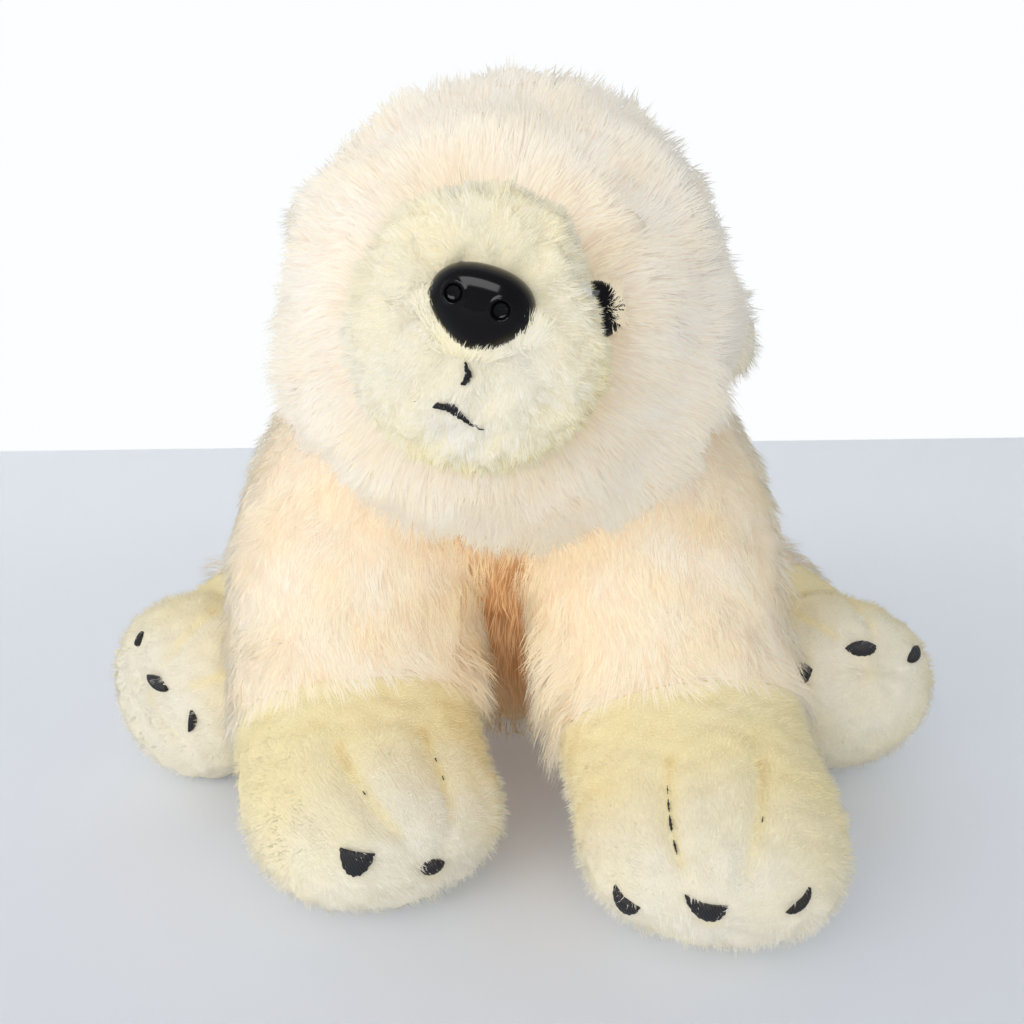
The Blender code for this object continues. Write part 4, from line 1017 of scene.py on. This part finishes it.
# Each claw: how far it lies right of and above its node's middle, its half width, its depth below its tips,
# its top over that depth, how far its belly leans, and its tilt in degrees
CLAWS = {
    "right_front_inner": (-0.0014, -0.0024, 0.0034, 0.0042, -0.05, 0.15, -32),
    "right_front_middle": (-0.0015, 0.0011, 0.0043, 0.0042, -0.15, 0.35, -10),
    "right_front_outer": (0.0007, 0.0010, 0.0036, 0.0018, -0.15, 0.0, 38),
    "left_front_outer": (-0.0002, 0.0050, 0.0038, 0.0054, -0.05, 0.05, -12),
    "left_front_middle": (-0.0003, -0.0018, 0.0029, 0.0022, 0.45, 0.0, 8),
    "left_front_inner": (0.0, -0.0010, 0.0016, 0.0013, 0.30, 0.0, 0),
    "right_hind_inner": (-0.0030, 0.0005, 0.0024, 0.0046, 0.10, 0.45, -25),
    "right_hind_middle": (-0.0010, 0.0028, 0.0045, 0.0028, 0.55, 0.20, 4),
    "right_hind_outer": (0.0016, -0.0007, 0.0037, 0.0022, 0.55, 0.0, 32),
    "left_hind_outer": (-0.0011, 0.0032, 0.0022, 0.0014, 0.20, 0.0, 80),
    "left_hind_middle": (-0.0016, 0.0016, 0.0040, 0.0018, 0.75, 0.0, -28),
    "left_hind_inner": (-0.0004, 0.0022, 0.0030, 0.0018, 0.10, 0.0, 82),
}
# The share of a claw's height that shows, for the one that the pile hides
HIDDEN = {"left_front_inner": 0.08}
# Heights on the claws are read in the picture's own upward direction
CAMERA_UP = np.array([0.0, math.sin(CAMERA_TIP), math.cos(CAMERA_TIP)])


def seat_on(coat, target):
    """The point of a coat nearest to a target, and the coat's normal there, from 21 steps each way between
    the grid's own points."""
    rings = coat["rings"]
    row, col = np.unravel_index(np.argmin(np.linalg.norm(rings - target, axis=2)), rings.shape[:2])
    over, up = np.meshgrid(np.linspace(-1, 1, 21), np.linspace(-1, 1, 21))
    rows = np.clip(row + up.ravel(), 0, len(rings) - 1.001)
    cols = (col + over.ravel()) % rings.shape[1]
    spots = between(rings, rows, cols)
    best = np.argmin(np.linalg.norm(spots - target, axis=1))
    return spots[best], unit(between(coat["normal"], rows[best:best + 1], cols[best:best + 1]))[0]


def claw_seat(name, coat):
    """A claw's frame on the visible paw: its seat, its width direction, its height direction, its normal,
    and how much the paw curves away along the two."""
    low, high = (np.array(corner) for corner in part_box(name + "_claw"))
    right, above, half, depth, top, belly, tilt = CLAWS[name]
    seat, normal = seat_on(coat, (low + high) / 2 + np.array([right, 0, 0]) + CAMERA_UP * above)
    level = unit(np.cross(CAMERA_UP, normal))
    steep = np.cross(normal, level)
    cos, sin = math.cos(math.radians(tilt)), math.sin(math.radians(tilt))
    across, up = level * cos + steep * sin, steep * cos - level * sin
    falls = []
    for way in (across, up):
        ends = [seat_on(coat, seat + way * reach)[0] for reach in (-0.003, 0.003)]
        falls.append(-sum((end - seat) @ normal for end in ends) / 0.003**2)
    return {"seat": seat, "across": across, "up": up, "normal": normal, "falls": falls, "half": half,
            "depth": depth, "top": top, "belly": belly, "rise": HIDDEN.get(name, 1.0)}


def in_claw(points, claw, grow):
    """Whether points lie under a claw's patch, grown sideways and down, and less at its furry upper edge."""
    out = points - claw["seat"]
    x, y = out @ claw["across"], out @ claw["up"]
    reach = np.hypot(x / (claw["half"] + grow), np.minimum(y, 0) / (claw["depth"] + grow))
    over = claw["top"] * claw["depth"] * (1 - (x / claw["half"]) ** 2)
    return (reach < 1) & (y < over - 0.0002) & (np.abs(out @ claw["normal"]) < 0.004)


PAW_PILE = 0.0027
LEG = {**LONG, "face": np.zeros(3), "length": leg_length, "rise": 0.55, "lean": 0.75, "bend": 0.5,
       "fall": 0.25, "pull": 0.42}
PAW = {**SHORT, "face": np.zeros(3), "length": lumpy(0.0004, 0.007, 33, PAW_PILE), "rise": 0.70,
       "lean": 0.45, "fall": 0.10, "tuft": 0.0030, "pull": 0.45, "swirl": 0.35}
# How many locks each leg and each paw has, and the place of the seam between them along the limb's points
FRONT_LOCKS, FRONT_SEAM = (20000, 14000), 2.9
HIND_LOCKS, HIND_SEAM = (6000, 8000), 2.1
# Where each channel's thread comes through: from and to along the limb's points, and its half thickness
DASHES = {
    "right_front": (((4.32, 4.40, 0.00014), (4.44, 4.54, 0.00022), (4.56, 4.68, 0.00030),
                     (4.72, 4.80, 0.00022)), ((4.50, 4.55, 0.00012),)),
    "left_front": (((4.50, 4.54, 0.00014),), ((4.40, 4.44, 0.00016), (4.57, 4.61, 0.00014))),
}
THREAD_LIFT = 0.0004
# Where the channels' creases are painted with shade, from and to along the limb's points
CREASE_SHADE = (4.0, 4.85)
claws, threads = {}, {}
for number, (name, spine) in enumerate(LIMB_SPINES.items()):
    front = "front" in name
    halves, seam = (FRONT_HALVES, FRONT_SEAM) if front else (HIND_HALVES, HIND_SEAM)
    leg_locks, paw_locks = FRONT_LOCKS if front else HIND_LOCKS
    angles, sides = circle(COLUMNS), limb_sides(name)
    leg_places, leg_shrink = rounded(0.0, 1.1, 24, seam, None, 2.4, 12)
    leg_rings = tube_rings(spine, halves, sides, leg_places, leg_shrink, angles, LONG_INSET)
    leg_coat = pelt(leg_rings, 1, 0.5)
    leg_skin = skin(name + "_leg_cloth", leg_coat, long_ground, leg_warmth, lumpy(LIMB_LUMPS, 0.012, 7))
    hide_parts(name + "_sleeve")
    leg_pile = hairs(name + "_leg_pile", leg_coat, leg_locks, above_floor, LEG, leg_warmth, long_pile,
                     30 + number)
    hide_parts(name + "_sleeve")

    paw_places, paw_shrink = rounded(None, seam, 26, 3.9, 5.0, 2.4, 20)
    paw_rings = tube_rings(spine, halves, sides, paw_places, paw_shrink, angles, SHORT_INSET)
    paw_coat = pushed(paw_rings, channels(paw_places, angles), 1, 0.4)
    count = np.arange(len(paw_places))
    claws[name] = {toe: claw_seat(f"{name}_{toe}", paw_coat) for toe in ("inner", "middle", "outer")}
    threads[name] = []
    for turn, dashes in zip((1, -1), DASHES.get(name, ((), ()))):
        for start, end, half in dashes:
            rows = np.interp(np.linspace(start, end, 10), paw_places, count)
            cols = np.full(10, (math.pi / 2 + turn * CHANNEL_SPREAD) / math.tau * COLUMNS)
            lift = between(paw_coat["normal"], rows, cols) * THREAD_LIFT
            threads[name].append((between(paw_coat["rings"], rows, cols) + lift, half))
    # A point far away stands in where a paw shows no thread
    sewn = np.vstack([line for line, _ in threads[name]] or [np.full((1, 3), 9.0)])
    rows = np.tile(np.interp(np.linspace(*CREASE_SHADE, 30), paw_places, count), 2)
    cols = (math.pi / 2 + np.repeat([1, -1], 30) * CHANNEL_SPREAD) / math.tau * COLUMNS
    paw_warmth = instep_warmth(np.array(spine[-1]) + BEAR_PLACE, between(paw_coat["rings"], rows, cols))

    def paw_share(points):
        """None on the floor, under a claw or on the channels' threads."""
        clear = above_floor(points) * (near(points, sewn, 0.0007) < 0.45)
        for claw in claws[name].values():
            if claw["rise"] == 1:
                clear = clear * ~in_claw(points, claw, 0.0003)
        return clear

    paw_skin = skin(name + "_paw_cloth", paw_coat, short_ground, paw_warmth, lumpy(0.0003, 0.006, 16))
    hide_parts(name + "_paw")
    paw_pile = hairs(name + "_paw_pile", paw_coat, paw_locks, paw_share, PAW, paw_warmth, short_pile,
                     40 + number)
    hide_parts(name + "_paw")


# The claws
# Patches of black satin stitch, three on each paw, worked through the cloth and padded by their own
# threads; the pile above each one falls over its upper edge.
CLAW_RISE = 0.0017
CLAW_EDGE = 0.0006
CLAW_SUNK = 0.0006
THREAD_ROW = 0.00055


def claw_rings(claw):
    """Rings about the patch's normal. The tips lie at either end; below them runs half an ellipse that leans
    with the belly, above them a parabola, hollow where the top is less than nought."""
    angle = circle(48)
    x = claw["half"] * np.cos(angle)
    y = np.where(angle < math.pi, claw["top"] * np.sin(angle) ** 2, -np.abs(np.sin(angle)) ** 1.15)
    y = y * claw["depth"]
    x = x - claw["belly"] * np.minimum(y, 0) * 0.6
    rim = 1 + 0.035 * np.sin(angle * 17 + claw["half"] * 9e4)
    share = np.concatenate([[0.55, 1.0], np.ones(1), np.cos(np.linspace(0.15, math.pi / 2 - 0.05, 10))])
    height = np.concatenate([[-CLAW_SUNK, -CLAW_SUNK],
                             CLAW_EDGE + (CLAW_RISE - CLAW_EDGE) * (1 - share[2:] ** 2.4) ** (1 / 2.4)])
    middle = -0.35 * claw["depth"]
    across = (x * rim)[None] * share[:, None]
    up = middle + (y * rim - middle)[None] * share[:, None]
    fall = (claw["falls"][0] * across**2 + claw["falls"][1] * up**2) / 2
    out = height[:, None] * claw["rise"] - fall
    return (claw["seat"] + claw["across"] * across[..., None] + claw["up"] * up[..., None]
            + claw["normal"] * out[..., None])


def satin_black(tree):
    """Rows of black thread side by side, with a dull shine along each painted in as paler bands. A wave is
    tau / 20 over the texture's scale; the rows are drawn a little wider apart than real ones, so that they
    show."""
    place = add(tree, "TexCoord")
    turned = add(tree, "Mapping", {0: place.outputs["Object"], "Rotation": (0.2, 0.5, 0.3)})
    rows = add(tree, "TexWave", {"Vector": turned.outputs[0], "Scale": math.tau / 20 / THREAD_ROW,
                                 "Distortion": 1.5, "Detail": 2.0, "Detail Scale": 2.0})
    level = add(tree, "MapRange", {0: rows.outputs["Fac"], 1: 0.55, 2: 1.0})
    # The paler colour is painted sheen along the rows
    dark, pale = linear("#0d0c11"), linear("#27252c")
    both = add(tree, "Mix", {0: level.outputs[0], 6: dark, 7: pale}, data_type="RGBA")
    raised = add(tree, "Bump", {"Height": rows.outputs["Fac"], "Strength": 0.6, "Distance": 0.0002})
    return both.outputs[2], raised.outputs[0]


# Rayon thread laid close: a dull sheen, painted as paler bands, that breaks into rows across each claw
satin = new_material("black_satin_stitch", satin_black, 0.55)
for name, toes in claws.items():
    for toe, claw in toes.items():
        rings = claw_rings(claw)
        points, faces = closed_grid(rings)
        patch = new_piece(f"{name}_{toe}_claw_patch", points, faces, wrapped_map(*rings.shape[:2]), satin)
        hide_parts(f"{name}_{toe}_claw")


# The toe channels' threads
# Two-ply black thread, sewn through each front paw from top to sole to part its toes. The pull of it
# sinks the two channels, and it shows only here and there between the tufts.
for name, lines in threads.items():
    dashes = []
    for line, half in lines:
        dashes += rope(line, np.sin(np.linspace(0.25, math.pi - 0.25, len(line))) * half * 1.3, 2, 6)
    if dashes:
        points, faces, uv = joined(dashes)
        sewing = new_piece(name + "_toe_thread", points, faces, uv, thread)
        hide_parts(name + "_paw")


# The fillings and the washers
# Loose polyester fibre inside every skin, and the white nylon lock washers that are pressed onto the nose's
# and the eyes' shanks behind the cloth.
WISP_SIZE = 0.00333
NYLON_CLOUD = 0.004


def fibre_white(tree):
    """Crimped white fibre: paler and greyer wisps a few millimetres long."""
    place = add(tree, "TexCoord")
    wisps = add(tree, "TexNoise", {"Vector": place.outputs["Object"], "Scale": 1 / WISP_SIZE, "Detail": 4.0})
    dull, pale = linear("#dcdbd6"), linear("#f6f6f3")
    both = add(tree, "Mix", {0: wisps.outputs[0], 6: dull, 7: pale}, data_type="RGBA")
    raised = add(tree, "Bump", {"Height": wisps.outputs[0], "Strength": 0.8, "Distance": 0.001})
    return both.outputs[2], raised.outputs[0]


def nylon_white(tree):
    """Moulded natural nylon, slightly cloudy."""
    place = add(tree, "TexCoord")
    cloud = add(tree, "TexNoise", {"Vector": place.outputs["Object"], "Scale": 1 / NYLON_CLOUD})
    dull, pale = linear("#deddd6"), linear("#ecebe5")
    both = add(tree, "Mix", {0: cloud.outputs[0], 6: dull, 7: pale}, data_type="RGBA")
    return both.outputs[2], None


# Polyester fibre looks like dull cotton wool, and natural nylon like cloudy milk glass
fibre = new_material("polyester_filling", fibre_white, 1.0)
nylon = new_material("white_nylon", nylon_white, 0.45)
for name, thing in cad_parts.items():
    if name.endswith("_filling") or name.endswith("_washer"):
        for place in thing.material_slots:
            place.material = fibre if name.endswith("_filling") else nylon


# The floor, the wall and the light
# A pale laminate table, which glows faintly as painted light that lifts the shadows on it and under the bear,
# in front of a white wall. The room's light falls from the left and from in front, and a ceiling lamp shows
# only as the gloss on the nose.
WALL_LEFT = (-3, 0.34)
WALL_RIGHT = (3, 0.835)
WALL_TOP = 2.5
TABLE_FRONT = -2.5
# The table's faint glow, painted light that lifts its shadows
TABLE_PAINTED_GLOW = 0.075
UNEVEN_SIZE = 1 / 3


def stage_plane(name, corners, material):
    """A flat rectangle from four corners."""
    mesh = bpy.data.meshes.new(name)
    mesh.from_pydata(corners, [], [(0, 1, 2, 3)])
    mesh.materials.append(material)
    plane = bpy.data.objects.new(name, mesh)
    bpy.context.scene.collection.objects.link(plane)
    return plane


def painted(tree):
    """White laminate: bluer and darker near the front and paler towards the wall, a painted fall of light;
    very faintly uneven.
    """
    place = add(tree, "TexCoord")
    parts = add(tree, "SeparateXYZ", {0: place.outputs["Object"]})
    # Paler towards the wall: painted light
    back = add(tree, "MapRange", {0: parts.outputs[1], 1: -0.15, 2: 0.35})
    near_blue_shaded, far_white_lit = linear("#e0e4ee"), linear("#f8fbff")
    both = add(tree, "Mix", {0: back.outputs[0], 6: near_blue_shaded, 7: far_white_lit}, data_type="RGBA")
    fine = add(tree, "TexNoise", {"Vector": place.outputs["Object"], "Scale": 1 / UNEVEN_SIZE})
    level = add(tree, "MapRange", {0: fine.outputs[0], 3: 0.99, 4: 1.01})
    flat = add(tree, "VectorMath", {0: both.outputs[2], 1: level.outputs[0]}, operation="MULTIPLY")
    return flat.outputs[0], None


# Matt laminate: pale and cool, with a faint painted glow, so that soft shadows on it never go quite dark
table = new_material("table", painted, 0.7, Emission_Color=(0.80, 0.88, 1.0, 1), Emission_Strength=TABLE_PAINTED_GLOW)
front_corners = [(WALL_LEFT[0], TABLE_FRONT, 0), (WALL_RIGHT[0], TABLE_FRONT, 0)]
stage_plane("floor", [*front_corners, (*WALL_RIGHT, 0), (*WALL_LEFT, 0)], table)
# White paint: the camera sees it as the picture's plain white, and light meets it as a matt wall
wall = bpy.data.materials.new("wall")
wall.use_nodes = True
tree = wall.node_tree
glow = add(tree, "Emission", {"Color": linear("#fcfeff"), "Strength": 1.0})
plain = tree.nodes["Principled BSDF"]
plain.inputs["Base Color"].default_value = linear("#f2f4f6")
seen = add(tree, "LightPath")
mix = add(tree, "MixShader", {0: seen.outputs["Is Camera Ray"], 1: plain.outputs[0], 2: glow.outputs[0]})
tree.links.new(mix.outputs[0], tree.nodes["Material Output"].inputs[0])
wall_top = [(*WALL_RIGHT, WALL_TOP), (*WALL_LEFT, WALL_TOP)]
stage_plane("wall", [(*WALL_LEFT, 0), (*WALL_RIGHT, 0), *wall_top], wall)

# The room's light: its strength at the left, at the right and, as a share, overhead
ROOM_LEFT = 0.68
ROOM_RIGHT = 0.52
ROOM_TOP = 0.72
world = bpy.data.worlds.new("room")
world.use_nodes = True
room = world.node_tree
place = add(room, "TexCoord")
parts = add(room, "SeparateXYZ", {0: place.outputs["Generated"]})
level = add(room, "MapRange", {0: parts.outputs[0], 1: -0.8, 2: 0.8, 3: ROOM_LEFT, 4: ROOM_RIGHT})
upper = add(room, "MapRange", {0: parts.outputs[2], 1: 0.1, 2: 0.9, 3: 1.0, 4: ROOM_TOP})
level = add(room, "Math", {0: level.outputs[0], 1: upper.outputs[0]}, operation="MULTIPLY")
room.links.new(level.outputs[0], room.nodes["Background"].inputs[1])
tint = add(room, "MapRange", {0: parts.outputs[0], 1: -0.8, 2: 0.8})
warm_left, cool_right = (1.0, 0.99, 0.965, 1), (0.94, 0.98, 1.0, 1)
tint = add(room, "Mix", {0: tint.outputs[0], 6: warm_left, 7: cool_right}, data_type="RGBA")
room.links.new(tint.outputs[2], room.nodes["Background"].inputs[0])
bpy.context.scene.world = world


def area_lamp(name, place, target, size, watts, gloss):
    """A rectangular lamp that looks from its place at a target: either it only shows as gloss, or it only
    lights the cloth."""
    lamp = bpy.data.lights.new(name, "AREA")
    lamp.shape = "RECTANGLE"
    lamp.size, lamp.size_y = size
    lamp.energy = watts
    thing = bpy.data.objects.new(name, lamp)
    thing.location = place
    thing.rotation_euler = (Vector(target) - thing.location).to_track_quat("-Z", "Y").to_euler()
    thing.visible_glossy, thing.visible_diffuse = gloss, not gloss
    bpy.context.scene.collection.objects.link(thing)


area_lamp("window", (-0.95, -1.05, 0.60), (0, 0, 0.08), (1.1, 1.0), 4.6, False)
area_lamp("room_light", (-0.25, -1.35, 0.50), (0, 0, 0.08), (2.4, 1.1), 10.0, False)
area_lamp("ceiling", (-0.12, -0.60, 1.05), (0, -0.05, 0.1), (1.1, 0.50), 12, True)
